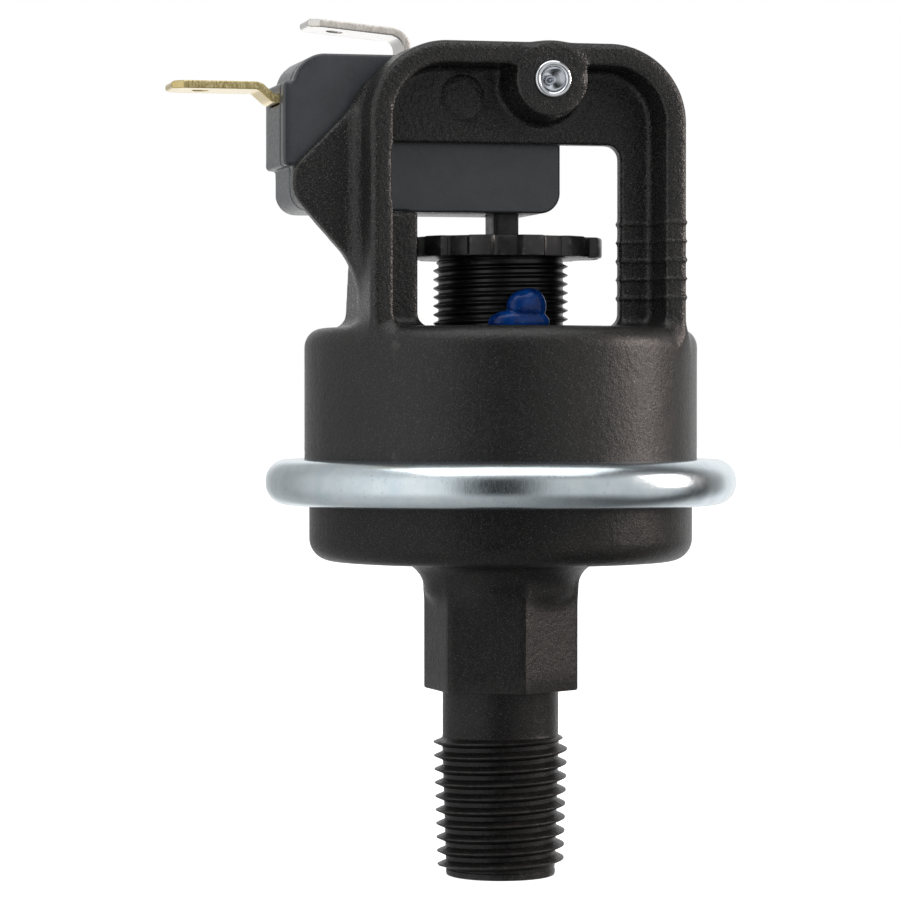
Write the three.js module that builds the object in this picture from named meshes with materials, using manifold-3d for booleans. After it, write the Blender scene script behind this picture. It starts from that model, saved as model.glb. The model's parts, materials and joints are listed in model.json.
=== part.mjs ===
// Adjustable diaphragm pressure switch, in millimetres, +Z up.
// The pipe nipple's end face is centred on the origin, the stem axis is Z, and the arch with the
// snap-action switch faces -Y. Run with the npm packages three and manifold-3d.
import * as THREE from "three";
import { mergeVertices } from "three/addons/utils/BufferGeometryUtils.js";
import Module from "manifold-3d";

const wasm = await Module();
wasm.setup();

// ---------- driving dimensions ----------
const ROUND = 36; // facets round a turned piece
const SMALL_ROUND = 20; // facets round a pin, contact or hole
const THREAD_ROUND = 12; // facets round a thread and its core
const WELD = 1e-3; // vertices closer than this are one vertex
const GAP = 0.1; // between pieces that fit together
const REACH = 10; // how far a cut runs past the piece it cuts

// The pipe nipple, neck and wrench hexagon.
const PORT = { bore: 3.2, leadRadius: 5.67, leadTop: 1.06, threadTop: 13.8 };
const NECK = { bottom: 14.5, radius: 6.015 };
// Taper pipe thread, quarter inch by 18 to the inch, right-handed.
const PIPE_THREAD = { pitch: 25.4 / 18, crest: 6.55, depth: 0.95, taper: 1 / 32 };
const HEX = { bottom: 19.3, top: 30.2, corner: 8.2, turn: THREE.MathUtils.degToRad(-25.6) };
const FLARE = [[7.83, 29.5], [8.33, 30.9], [9.23, 31.8], [10.6, 32.7]]; // from neck to shell, [radius, z]

// The two halves of the shell and the ring that crimps them together.
const LOWER = { radius: 19.84, bottom: 32.7, edge: 2.3 };
const CHAMBER = { radius: 16.5, floor: 34.9, corner: 1 };
const RING = { bottom: 38.5, top: 43.2, outer: 24.4, edge: 2.2, wall: 0.8 };
const RING_LIP = { low: 19.95, high: 20.45 };
const FLANGE = { radius: 22.2, lowTop: 40.4, highBottom: 41.4 };
const UPPER = { radius: 20.33, top: 56.7, edge: 2, roof: 2.5, cavity: 17.5 };
const SCREW_BORE = { radius: 7.1, bossRadius: 9.3, bossBottom: 46 };

const ARCH = { front: -12.6, halfWidth: 16.2, wall: 2.15, top: 85.2, corner: 8, foot: 54.5 };
const WEB = { front: -7.3, back: -5.3 };
const SIDE_WALL = { back: 1.6, top: 68 };
const WINDOW = { left: -10.4, right: 10.9, top: 75.3, stepLeft: -14, stepHeight: 68.3, corner: 1.2 };
const GRIP_RIB = { count: 5, lowest: 59.7, spacing: 1.9, width: 0.42, proud: 0.15 };

const SWITCH = { left: -22.8, right: 5.03, bottom: 68.4, top: 84.3, halfDepth: 5.15, corner: 2.1 };
const SWITCH_BUMP = { left: -23.8, bottom: 72.9, top: 81.5 };
const SWITCH_SPLIT = -3.2; // where the switch's cover meets its case
const SWITCH_WALL = 1.4;
const RIVET_HOLE = { x: 2.23, z: 81.5, radius: 1.6 };
const PEG_HOLE = { x: -19.97, z: 71.2, radius: 1.6 };
const PEG = { radius: 1.45, back: -1.5 }; // on the wing, in the switch's second hole
const HOLE_BOSS = 2.5;
const WING = { top: 80.9, bottom: 61, reach: 4.5, tip: 3.3 };
const RIVET_BOSS = { front: 3.7, base: 4.4 };
const RIVET = { shank: 1.5, bore: 0.9, mouth: 1.5, mouthDepth: 2.65, rim: 1.9, rimEdge: 0.15, proud: 0.45 };
const RIVET_HEAD = { radius: 2.7, thickness: 0.8, edge: 0.6 };

// The button, blade and terminals inside the switch.
const BUTTON = { x: 0.14, width: 2.67, depth: 4.06, corner: 0.35, tip: 65.7, top: 74, play: 0.15 };
const COLLAR = { proud: 0.6, bottom: 70.2, top: 71.4 };
const BLADE = { left: -18.3, right: 3.2, bottom: 75.3, thickness: 0.3, halfWidth: 1.9 };
const BLADE_SLOT = { left: -13, right: -2, halfWidth: 0.75 };
const BOW = { left: -12.8, right: -2.2, bendLeft: -10, bendRight: -5, sag: 1.9 };
const BOW_STRIP = { thickness: 0.22, halfWidth: 0.6 };
const CONTACT = { x: -17, movingRadius: 1.3, fixedRadius: 1.4, movingTop: 76.9, fixedBottom: 78 };
const TAB = { thickness: 0.8, halfWidth: 3.175, neck: 2.5, chamfer: 1.5, hole: 0.85 };
const COMMON = { x: -10.5, armZ: 77.7, bendZ: 86.95, tipX: -21.4, tipZ: 87.75, holeX: -18 };
const ANCHOR = { x: 3, z: 75.95 }; // where the common terminal holds the blade
const OPEN = { innerX: -14.6, z: 79.8, jogX: -24.1, jogEndX: -25.4, tipX: -35.1, tipZ: 81.1, holeX: -31.5 };
const REST_STOP = { left: -18, right: -16, front: -2, thickness: 0.85 };

// The adjusting screw and what it loads.
const SCREW = { bottom: 48, threadBottom: 54.4, major: 6.98, depth: 0.5, pitch: 25.4 / 28 };
const SCREW_POCKET = { radius: 5.2, ceiling: 64.2 };
const WHEEL = { bottom: 63.9, top: 66, radius: 10.5, notch: 9.8, hole: 2.75 };
const LOBE = { count: 12, share: 0.46, first: THREE.MathUtils.degToRad(4.3), lean: 0.025 };
const SEAT = { bottom: 63.3, top: 64.1, radius: 5, hole: 2.6 };
const PISTON = { bottom: 41.4, top: 43.4, radius: 12, edge: 0.4, step: 3.1, stepTop: 44.4 };
const ROD = { radius: 1.6, top: 65.5, edge: 0.3 };
const SPRING = { bottom: 43.45, top: 63.25, coil: 4.2, wire: 0.45, turns: 7, sides: 5, stepsPerTurn: 10 };
const DIAPHRAGM = { bottom: 40.5, thickness: 0.8, radius: 22 };
const DIAPHRAGM_ROLL = { inner: 12.8, outer: 15.8, depth: 1 };
const LACQUER = { inner: 7.3, bottom: 56.75 };
const DROPS = [
  { turn: -6.5, z: 57.2, across: 2.2, out: 1.3, tall: 1.3 },
  { turn: 7.3, z: 58.9, across: 2, out: 1.2, tall: 1.75 },
  { turn: 3, z: 57.6, across: 2, out: 1.2, tall: 1.3 },
];

// ---------- solids from three.js shapes ----------
function solid(geometry) {
  const bare = geometry.clone();
  bare.deleteAttribute("normal");
  bare.deleteAttribute("uv");
  const welded = mergeVertices(bare, WELD);
  const fromTriangles = (triVerts) =>
    new wasm.Manifold(
      new wasm.Mesh({ numProp: 3, vertProperties: welded.attributes.position.array, triVerts }),
    );
  const triangles = new Uint32Array(welded.index.array);
  const made = fromTriangles(triangles);
  // A profile drawn the other way round gives faces that point inwards: reversing the list turns them.
  return made.volume() > 0 ? made : fromTriangles(triangles.reverse());
}

function geometryOf(made) {
  const mesh = made.getMesh();
  const positions = new Float32Array(mesh.vertProperties);
  const geometry = new THREE.BufferGeometry();
  geometry.setAttribute("position", new THREE.BufferAttribute(positions, 3));
  geometry.setIndex(new THREE.BufferAttribute(new Uint32Array(mesh.triVerts), 1));
  geometry.computeVertexNormals();
  return geometry;
}

// A solid of revolution about Z from a profile of [radius, height]; it closes on itself or on the axis.
function turned(profile, facets = ROUND) {
  const points = profile.map(([radius, z]) => new THREE.Vector2(radius, z));
  if (profile[0][0] > 0) points.push(points[0].clone());
  return solid(new THREE.LatheGeometry(points, facets).rotateX(Math.PI / 2));
}

const cylinderZ = (radius, bottom, top, facets = ROUND) =>
  turned([[0, bottom], [radius, bottom], [radius, top], [0, top]], facets);

// The same about an axis along Y, through x and z, with the profile's heights as Y.
const turnedY = (profile, x, z, facets = SMALL_ROUND) =>
  turned(profile, facets).rotate([-90, 0, 0]).translate([x, 0, z]);

const cylinderY = (radius, front, back, x, z, facets = SMALL_ROUND) =>
  turnedY([[0, front], [radius, front], [radius, back], [0, back]], x, z, facets);

// An outline in X and Z, extruded along Y.
function plateY(outline, front, back) {
  const geometry = new THREE.ExtrudeGeometry(outline, { depth: back - front, bevelEnabled: false });
  return solid(geometry.rotateX(Math.PI / 2).translate(0, back, 0));
}

// An outline in X and Y, extruded along Z.
function plateZ(outline, bottom, top) {
  const geometry = new THREE.ExtrudeGeometry(outline, { depth: top - bottom, bevelEnabled: false });
  return solid(geometry.translate(0, 0, bottom));
}

function block(x0, x1, y0, y1, z0, z1) {
  const box = new THREE.BoxGeometry(x1 - x0, y1 - y0, z1 - z0);
  return solid(box.translate((x0 + x1) / 2, (y0 + y1) / 2, (z0 + z1) / 2));
}

// ---------- outlines ----------
// Points along an arc, from one angle to another, in radians.
function arc(x, y, radius, from, to, steps = 4) {
  return Array.from({ length: steps + 1 }, (_, i) => {
    const angle = from + ((to - from) * i) / steps;
    return [x + radius * Math.cos(angle), y + radius * Math.sin(angle)];
  });
}

// A closed outline whose corners [x, y, radius] are rounded.
function roundedOutline(corners, steps = 4) {
  const at = (i) => new THREE.Vector2(...corners[(i + corners.length) % corners.length].slice(0, 2));
  const points = corners.flatMap(([x, y, radius = 0], i) => {
    if (radius <= 0) return [[x, y]];
    const corner = at(i);
    const back = at(i - 1).sub(corner).normalize();
    const ahead = at(i + 1).sub(corner).normalize();
    const half = Math.acos(THREE.MathUtils.clamp(back.dot(ahead), -1, 1)) / 2;
    const inwards = back.clone().add(ahead).normalize();
    const centre = corner.clone().addScaledVector(inwards, radius / Math.sin(half));
    const start = corner.clone().addScaledVector(back, radius / Math.tan(half)).sub(centre);
    const end = corner.clone().addScaledVector(ahead, radius / Math.tan(half)).sub(centre);
    const sweep = Math.atan2(start.cross(end), start.dot(end));
    return arc(centre.x, centre.y, radius, start.angle(), start.angle() + sweep, steps);
  });
  return new THREE.Shape(points.map(([x, y]) => new THREE.Vector2(x, y)));
}

const roundedBox = (x0, x1, y0, y1, radius) =>
  roundedOutline([[x0, y0, radius], [x1, y0, radius], [x1, y1, radius], [x0, y1, radius]]);

// The edge outline of bent sheet metal, from its centre line of [x, z, bend radius].
function stripOutline(path, thickness) {
  const points = path.map(([x, z]) => new THREE.Vector2(x, z));
  const heading = (i) => points[i + 1].clone().sub(points[i]).normalize();
  const side = (sign) =>
    path.map(([, , bend = 0], i) => {
      const before = heading(Math.max(i - 1, 0));
      const after = heading(Math.min(i, points.length - 2));
      const normal = new THREE.Vector2(-before.y, before.x);
      const mitre = normal.clone().add(new THREE.Vector2(-after.y, after.x)).normalize();
      const offset = (sign * thickness) / 2;
      const corner = points[i].clone().addScaledVector(mitre, offset / mitre.dot(normal));
      const radius = bend && bend - offset * Math.sign(before.cross(after));
      return [corner.x, corner.y, radius];
    });
  return roundedOutline([...side(1), ...side(-1).reverse()]);
}

// A triangular thread ridge that climbs round Z and dies away over its first and last half turn.
function threadRidge({ pitch, crest, depth, taper = 0 }, bottom, top) {
  const sink = 0.3; // how far the ridge's foot sits inside the core
  const halfFoot = pitch * 0.46;
  const halfTip = pitch * 0.06;
  const stepsPerTurn = THREAD_ROUND;
  const steps = Math.round(((top - bottom) / pitch) * stepsPerTurn);
  const positions = [];
  for (let i = 0; i <= steps; i += 1) {
    const angle = (i / stepsPerTurn) * 2 * Math.PI;
    const z = bottom + (i / stepsPerTurn) * pitch;
    const fade = Math.min(1, (2 * i) / stepsPerTurn, (2 * (steps - i)) / stepsPerTurn);
    const peak = crest + (z - bottom) * taper;
    const foot = peak - depth - sink;
    const tip = foot + sink / 2 + (depth + sink / 2) * fade;
    const section = [[foot, z - halfFoot], [tip, z - halfTip], [tip, z + halfTip], [foot, z + halfFoot]];
    for (const [radius, height] of section)
      positions.push(radius * Math.sin(angle), -radius * Math.cos(angle), height);
  }
  const index = [0, 1, 2, 0, 2, 3];
  for (let i = 0; i < steps; i += 1)
    for (let k = 0; k < 4; k += 1) {
      const [a, b] = [4 * i + k, 4 * i + ((k + 1) % 4)];
      index.push(a, a + 4, b, b, a + 4, b + 4);
    }
  const last = 4 * steps;
  index.push(last, last + 2, last + 1, last, last + 3, last + 2);
  const geometry = new THREE.BufferGeometry();
  geometry.setAttribute("position", new THREE.Float32BufferAttribute(positions, 3));
  return solid(geometry.setIndex(index));
}

// ---------- the pressure capsule ----------
function lowerHousing() {
  const core = PIPE_THREAD.crest - PIPE_THREAD.depth;
  const rise = (PORT.threadTop - PORT.leadTop) * PIPE_THREAD.taper;
  const threadCore = turned(
    [
      [0, PORT.leadTop],
      [core, PORT.leadTop],
      [core + rise, PORT.threadTop],
      [NECK.radius, NECK.bottom],
      [0, NECK.bottom],
    ],
    THREAD_ROUND,
  );
  const lead = cylinderZ(PORT.leadRadius, 0, PORT.leadTop);
  const shell = turned([
    [0, NECK.bottom],
    [NECK.radius, NECK.bottom],
    [NECK.radius, FLARE[0][1]],
    ...FLARE,
    ...arc(LOWER.radius - LOWER.edge, LOWER.bottom + LOWER.edge, LOWER.edge, -Math.PI / 2, 0),
    [LOWER.radius, RING.bottom + RING.wall + GAP],
    [FLANGE.radius, RING.bottom + RING.wall + GAP],
    [FLANGE.radius, FLANGE.lowTop],
    [0, FLANGE.lowTop],
  ]);
  const corners = Array.from({ length: 6 }, (_, i) => {
    const angle = HEX.turn + ((i + 0.5) * Math.PI) / 3;
    return new THREE.Vector2(HEX.corner * Math.sin(angle), -HEX.corner * Math.cos(angle));
  });
  const hex = plateZ(new THREE.Shape(corners), HEX.bottom, HEX.top);
  const inside = turned([
    [0, -REACH],
    [PORT.bore, -REACH],
    [PORT.bore, CHAMBER.floor],
    [CHAMBER.radius - CHAMBER.corner, CHAMBER.floor],
    [CHAMBER.radius, CHAMBER.floor + CHAMBER.corner],
    [CHAMBER.radius, FLANGE.lowTop + REACH],
    [0, FLANGE.lowTop + REACH],
  ]);
  const inset = PIPE_THREAD.pitch / 2;
  const thread = threadRidge(PIPE_THREAD, PORT.leadTop + inset, PORT.threadTop - inset);
  return shell.add(hex).add(threadCore).add(lead).add(thread).subtract(inside);
}

function crimpRing() {
  const middle = RING.outer - RING.edge;
  const innerEdge = RING.edge - RING.wall;
  return turned([
    [RING_LIP.low, RING.bottom],
    ...arc(middle, RING.bottom + RING.edge, RING.edge, -Math.PI / 2, 0),
    ...arc(middle, RING.top - RING.edge, RING.edge, 0, Math.PI / 2),
    [RING_LIP.high, RING.top],
    [RING_LIP.high, RING.top - RING.wall],
    ...arc(middle, RING.top - RING.edge, innerEdge, Math.PI / 2, 0, 2),
    ...arc(middle, RING.bottom + RING.edge, innerEdge, 0, -Math.PI / 2, 2),
    [RING_LIP.low, RING.bottom + RING.wall],
  ]);
}

function diaphragm() {
  const { bottom, thickness, radius } = DIAPHRAGM;
  const { inner, outer, depth } = DIAPHRAGM_ROLL;
  const top = bottom + thickness;
  const face = (z) => [[inner, z], [(inner + outer) / 2, z - depth], [outer, z]];
  return turned([
    [0, bottom],
    ...face(bottom),
    [radius, bottom],
    [radius, top],
    ...face(top).reverse(),
    [0, top],
  ]);
}

function piston() {
  const { bottom, top, radius, edge, step, stepTop } = PISTON;
  return turned([
    [0, bottom],
    [radius - edge, bottom],
    [radius, bottom + edge],
    [radius, top],
    [step, top],
    [step, stepTop],
    [ROD.radius, stepTop],
    [ROD.radius, ROD.top - ROD.edge],
    [ROD.radius - ROD.edge, ROD.top],
    [0, ROD.top],
  ]);
}

function rangeSpring() {
  const { bottom, top, coil, wire, turns, sides, stepsPerTurn } = SPRING;
  class Coil extends THREE.Curve {
    getPoint(t, target = new THREE.Vector3()) {
      const angle = t * turns * 2 * Math.PI;
      const z = THREE.MathUtils.lerp(bottom + wire, top - wire, t);
      return target.set(coil * Math.cos(angle), coil * Math.sin(angle), z);
    }
  }
  const section = new THREE.Shape(
    arc(0, 0, wire, 0, 2 * Math.PI, sides)
      .slice(1)
      .map(([x, y]) => new THREE.Vector2(x, y)),
  );
  const settings = { steps: turns * stepsPerTurn, extrudePath: new Coil() };
  return solid(new THREE.ExtrudeGeometry(section, settings));
}

// ---------- the upper housing and its arch ----------
function housingShell() {
  const ceiling = UPPER.top - UPPER.roof;
  return turned([
    [UPPER.cavity, FLANGE.highBottom],
    [FLANGE.radius, FLANGE.highBottom],
    [FLANGE.radius, RING.top - RING.wall - GAP],
    [UPPER.radius, RING.top - RING.wall - GAP],
    ...arc(UPPER.radius - UPPER.edge, UPPER.top - UPPER.edge, UPPER.edge, 0, Math.PI / 2),
    [SCREW_BORE.radius, UPPER.top],
    [SCREW_BORE.radius, SCREW_BORE.bossBottom],
    [SCREW_BORE.bossRadius, SCREW_BORE.bossBottom],
    [SCREW_BORE.bossRadius, ceiling],
    [UPPER.cavity, ceiling],
  ]);
}

function arch() {
  const { front, halfWidth, wall, top, corner, foot } = ARCH;
  const inner = halfWidth - wall;
  const outline = (half, low, high, radius) =>
    roundedOutline([[-half, low], [half, low], [half, high, radius], [-half, high, radius]], 6);
  const recess = plateY(outline(inner, UPPER.top, top - wall, corner - wall), front - REACH, WEB.front);
  const window = roundedOutline([
    [WINDOW.left, UPPER.top],
    [WINDOW.right, UPPER.top],
    [WINDOW.right, WINDOW.top, WINDOW.corner],
    [WINDOW.stepLeft, WINDOW.top, WINDOW.corner],
    [WINDOW.stepLeft, WINDOW.stepHeight],
    [WINDOW.left, WINDOW.stepHeight],
  ]);
  const frame = plateY(outline(halfWidth, foot, top, corner), front, WEB.back)
    .subtract(recess)
    .subtract(plateY(window, WEB.front - REACH, WEB.back + REACH));
  const sideWall = block(inner, halfWidth, WEB.back - 1, SIDE_WALL.back, foot, SIDE_WALL.top);
  return frame.add(sideWall).add(sideWall.mirror([1, 0, 0]));
}

// Raised ribs that wrap round the right-hand pillar.
function gripRibs() {
  const inner = ARCH.halfWidth - ARCH.wall;
  const { proud, width, spacing, lowest, count } = GRIP_RIB;
  const around = new THREE.Shape([
    new THREE.Vector2(WINDOW.right, WEB.front - proud),
    new THREE.Vector2(inner - proud, WEB.front - proud),
    new THREE.Vector2(inner - proud, ARCH.front - proud),
    new THREE.Vector2(ARCH.halfWidth + proud, ARCH.front - proud),
    new THREE.Vector2(ARCH.halfWidth + proud, WEB.back),
    new THREE.Vector2(WINDOW.right, WEB.back),
  ]);
  return Array.from({ length: count }, (_, i) => {
    const middle = lowest + i * spacing;
    return plateZ(around, middle - width / 2, middle + width / 2);
  });
}

function upperHousing() {
  const wing = roundedOutline([
    [-ARCH.halfWidth + 1, WING.bottom - 1],
    [-ARCH.halfWidth + 1, WING.top + 1],
    [PEG_HOLE.x - WING.reach, PEG_HOLE.z, WING.tip],
  ]);
  const rivetBoss = turnedY(
    [[0, ARCH.front], [RIVET_BOSS.front, ARCH.front], [RIVET_BOSS.base, WEB.back], [0, WEB.back]],
    RIVET_HOLE.x,
    RIVET_HOLE.z,
  );
  const peg = cylinderY(PEG.radius, WEB.front, PEG.back, PEG_HOLE.x, PEG_HOLE.z);
  const pieces = [arch(), ...gripRibs(), plateY(wing, WEB.front, WEB.back), rivetBoss, peg];
  const { x, z, radius } = RIVET_HOLE;
  return pieces
    .reduce((whole, piece) => whole.add(piece), housingShell())
    .subtract(cylinderZ(SCREW_BORE.radius, ARCH.foot - GAP, UPPER.top + GAP))
    .subtract(cylinderY(radius, ARCH.front - REACH, WEB.back + REACH, x, z));
}

function switchRivet() {
  const { shank, bore, mouth, mouthDepth, rim, rimEdge, proud } = RIVET;
  const { radius, thickness, edge } = RIVET_HEAD;
  const front = ARCH.front - proud;
  const face = ARCH.front - GAP / 5;
  const back = SWITCH.halfDepth + GAP / 2;
  return turnedY(
    [
      [mouth, front],
      [rim, front + rimEdge],
      [rim, face],
      [shank, face],
      [shank, back],
      [radius, back],
      [radius, back + thickness / 2],
      [radius - edge, back + thickness],
      [bore, back + thickness],
      [bore, front + mouthDepth],
    ],
    RIVET_HOLE.x,
    RIVET_HOLE.z,
  );
}

function tamperLacquer() {
  const { inner, bottom } = LACQUER;
  const drops = DROPS.map(({ turn, z, across, out, tall }) => {
    const angle = THREE.MathUtils.degToRad(turn);
    const ball = new THREE.SphereGeometry(1, 12, 8).scale(across, out, tall).rotateZ(angle);
    return solid(ball.translate(inner * Math.sin(angle), -inner * Math.cos(angle), z));
  });
  return drops
    .reduce((whole, drop) => whole.add(drop))
    .subtract(cylinderZ(inner, bottom - REACH, bottom + REACH))
    .subtract(cylinderZ(inner + REACH, bottom - REACH, bottom));
}

// ---------- the adjusting screw ----------
function adjustingScrew() {
  const core = SCREW.major - SCREW.depth;
  const body = cylinderZ(core, SCREW.bottom, WHEEL.top, THREAD_ROUND);
  const thread = threadRidge(
    { pitch: SCREW.pitch, crest: SCREW.major, depth: SCREW.depth },
    SCREW.threadBottom,
    WHEEL.bottom - SCREW.pitch / 2,
  );
  const spacing = (2 * Math.PI) / LOBE.count;
  const half = (spacing * LOBE.share) / 2;
  const rim = Array.from({ length: LOBE.count }, (_, i) => {
    const middle = LOBE.first + i * spacing;
    const notchStart = middle + half + LOBE.lean;
    const notchEnd = middle + spacing - half - LOBE.lean;
    return [
      ...arc(0, 0, WHEEL.radius, middle - half, middle + half, 1),
      ...arc(0, 0, WHEEL.notch, notchStart, notchEnd, 1),
    ];
  }).flat();
  const wheelOutline = new THREE.Shape(rim.map(([x, y]) => new THREE.Vector2(x, y)));
  const wheelHole = cylinderZ(WHEEL.hole, SCREW.bottom, WHEEL.top + REACH, SMALL_ROUND);
  const { radius, ceiling } = SCREW_POCKET;
  const pocket = cylinderZ(radius, SCREW.bottom - REACH, ceiling, SMALL_ROUND);
  const wheel = plateZ(wheelOutline, WHEEL.bottom, WHEEL.top);
  return body.add(thread).add(wheel).subtract(wheelHole).subtract(pocket);
}

function springSeat() {
  const { bottom, top, radius, hole } = SEAT;
  return turned([[hole, bottom], [radius, bottom], [radius, top], [hole, top]]);
}

// ---------- the snap-action switch ----------
function switchBlank(front, back) {
  const { left, right, bottom, top, corner } = SWITCH;
  const body = roundedBox(left, right, bottom, top, corner);
  const bump = roundedBox(SWITCH_BUMP.left, left + 4, SWITCH_BUMP.bottom, SWITCH_BUMP.top, 0.6);
  return plateY(body, front, back).add(plateY(bump, front, back));
}

const mountingHoles = () =>
  [RIVET_HOLE, PEG_HOLE].map(({ x, z, radius }) => cylinderY(radius, -REACH, REACH, x, z));

function switchCase() {
  const wall = SWITCH_WALL;
  const pocketBack = SWITCH.halfDepth - wall;
  const pocketOutline = roundedBox(
    SWITCH.left + wall,
    SWITCH.right - wall,
    SWITCH.bottom + wall,
    SWITCH.top - wall,
    SWITCH.corner - wall,
  );
  const pocket = [RIVET_HOLE, PEG_HOLE].reduce(
    (rest, { x, z }) => rest.subtract(cylinderY(HOLE_BOSS, -REACH, REACH, x, z)),
    plateY(pocketOutline, -REACH, pocketBack),
  );
  const { play } = BUTTON;
  const halfTab = TAB.thickness / 2 + GAP;
  const neck = TAB.neck + GAP;
  const roof = SWITCH.top - wall - GAP;
  const end = SWITCH.left + wall + GAP;
  const cuts = [
    pocket,
    block(
      BUTTON.x - BUTTON.width / 2 - play,
      BUTTON.x + BUTTON.width / 2 + play,
      -BUTTON.depth / 2 - play,
      BUTTON.depth / 2 + play,
      SWITCH.bottom - REACH,
      SWITCH.bottom + wall + GAP,
    ),
    block(COMMON.x - halfTab, COMMON.x + halfTab, -neck, neck, roof, roof + REACH),
    block(end - REACH, end, -neck, neck, OPEN.z - halfTab, OPEN.z + halfTab),
    ...mountingHoles(),
  ];
  return cuts.reduce((rest, cut) => rest.subtract(cut), switchBlank(SWITCH_SPLIT, SWITCH.halfDepth));
}

const switchCover = () =>
  mountingHoles().reduce(
    (rest, hole) => rest.subtract(hole),
    switchBlank(-SWITCH.halfDepth, SWITCH_SPLIT - GAP / 2),
  );

function switchButton() {
  const { x, width, depth, corner, tip, top } = BUTTON;
  const stem = roundedBox(x - width / 2, x + width / 2, -depth / 2, depth / 2, corner);
  const collar = block(
    x - width / 2 - COLLAR.proud,
    x + width / 2 + COLLAR.proud,
    -depth / 2 - COLLAR.proud / 2,
    depth / 2 + COLLAR.proud / 2,
    COLLAR.bottom,
    COLLAR.top,
  );
  return plateZ(stem, tip, top).add(collar);
}

// A tab seen from above: narrow through the case, full width outside, with a chamfered tip.
function tabPlan(innerX, innerHalf, shoulderX, tipX) {
  const { halfWidth, chamfer } = TAB;
  const half = [
    [innerX, innerHalf],
    [shoulderX, innerHalf],
    [shoulderX, halfWidth],
    [tipX + chamfer, halfWidth],
    [tipX, halfWidth - chamfer],
  ];
  const mirrored = half.map(([x, y]) => [x, -y]).reverse();
  return new THREE.Shape([...half, ...mirrored].map(([x, y]) => new THREE.Vector2(x, y)));
}

const tabHole = (x, z) => cylinderZ(TAB.hole, z - 2, z + 2, THREAD_ROUND).translate([x, 0, 0]);

// Up from the blade's anchor, along under the switch's roof, and out through it.
function commonTerminal() {
  const { x, armZ, bendZ, tipX, tipZ, holeX } = COMMON;
  const path = [[ANCHOR.x, ANCHOR.z], [ANCHOR.x, armZ, 0.7], [x, armZ, 0.7], [x, bendZ, 1.3], [tipX, tipZ]];
  const sheet = plateY(stripOutline(path, TAB.thickness), -TAB.halfWidth, TAB.halfWidth);
  const waist = SWITCH.top - SWITCH_WALL - 1; // the strip is blade-wide below this and tab-wide above
  const { halfWidth } = BLADE;
  const arm = block(x - 1, ANCHOR.x + 1, -halfWidth, halfWidth, ANCHOR.z - 1, waist);
  const above = plateZ(tabPlan(x + 1, TAB.neck, x - 1.4, tipX), waist, tipZ + 2);
  return sheet.intersect(arm.add(above)).subtract(tabHole(holeX, tipZ));
}

// Straight out through the switch's end wall, with a jog up outside it.
function openTerminal() {
  const { innerX, z, jogX, jogEndX, tipX, tipZ, holeX } = OPEN;
  const path = [[innerX, z], [jogX, z, 0.9], [jogEndX, tipZ, 0.9], [tipX, tipZ]];
  const sheet = plateY(stripOutline(path, TAB.thickness), -TAB.halfWidth, TAB.halfWidth);
  const shoulder = SWITCH_BUMP.left - GAP;
  const plan = plateZ(tabPlan(innerX + 1, TAB.neck, shoulder, tipX), z - 2, tipZ + 2);
  return sheet.intersect(plan).subtract(tabHole(holeX, tipZ));
}

function snapBlade() {
  const { left, right, bottom, thickness, halfWidth } = BLADE;
  const { left: slotLeft, right: slotRight, halfWidth: slotHalf } = BLADE_SLOT;
  const sheet = block(left, right, -halfWidth, halfWidth, bottom, bottom + thickness);
  return sheet.subtract(block(slotLeft, slotRight, -slotHalf, slotHalf, bottom - 1, bottom + 1));
}

// The bowed spring that sits in the blade's slot and throws it over.
function snapSpring() {
  const ends = BLADE.bottom + GAP;
  const low = BLADE.bottom - BOW.sag;
  const path = [[BOW.left, ends], [BOW.bendLeft, low, 3], [BOW.bendRight, low, 3], [BOW.right, ends]];
  const { thickness, halfWidth } = BOW_STRIP;
  return plateY(stripOutline(path, thickness), -halfWidth, halfWidth);
}

function movingContact() {
  const bottom = BLADE.bottom + BLADE.thickness + GAP / 2;
  const { x, movingRadius, movingTop } = CONTACT;
  return cylinderZ(movingRadius, bottom, movingTop, SMALL_ROUND).translate([x, 0, 0]);
}

function fixedContact() {
  const top = OPEN.z - TAB.thickness / 2 - GAP / 2;
  const { x, fixedRadius, fixedBottom } = CONTACT;
  return cylinderZ(fixedRadius, fixedBottom, top, SMALL_ROUND).translate([x, 0, 0]);
}

// The bracket the blade's free end rests on while there is no pressure.
function restStop() {
  const { left, right, front, thickness } = REST_STOP;
  const back = SWITCH.halfDepth - SWITCH_WALL - GAP / 2;
  const top = BLADE.bottom - GAP;
  return block(left, right, front, back, top - thickness, top);
}

// ---------- materials and assembly ----------
const material = (color, roughness, metalness) =>
  new THREE.MeshStandardMaterial({ color, roughness, metalness });
const HOUSING_PLASTIC = [0x1b1918, 0.5, 0];
const SCREW_PLASTIC = [0x131313, 0.4, 0];
const CASE_PLASTIC = [0x17191d, 0.42, 0];
const ZINC = [0xb9c4c8, 0.32, 1];
const STEEL = [0xb5b8bb, 0.3, 1];
const BRASS = [0xd8b552, 0.3, 1];
const TINNED = [0xd9d4c8, 0.3, 1];
const SILVER = [0xe2e0da, 0.25, 1];
const SPRING_COPPER = [0xb9824e, 0.3, 1];
const BLACK_RUBBER = [0x181818, 0.8, 0];
const BLUE_LACQUER = [0x0b2f9e, 0.15, 0];
const BUTTON_PLASTIC = [0x101012, 0.4, 0];

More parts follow.
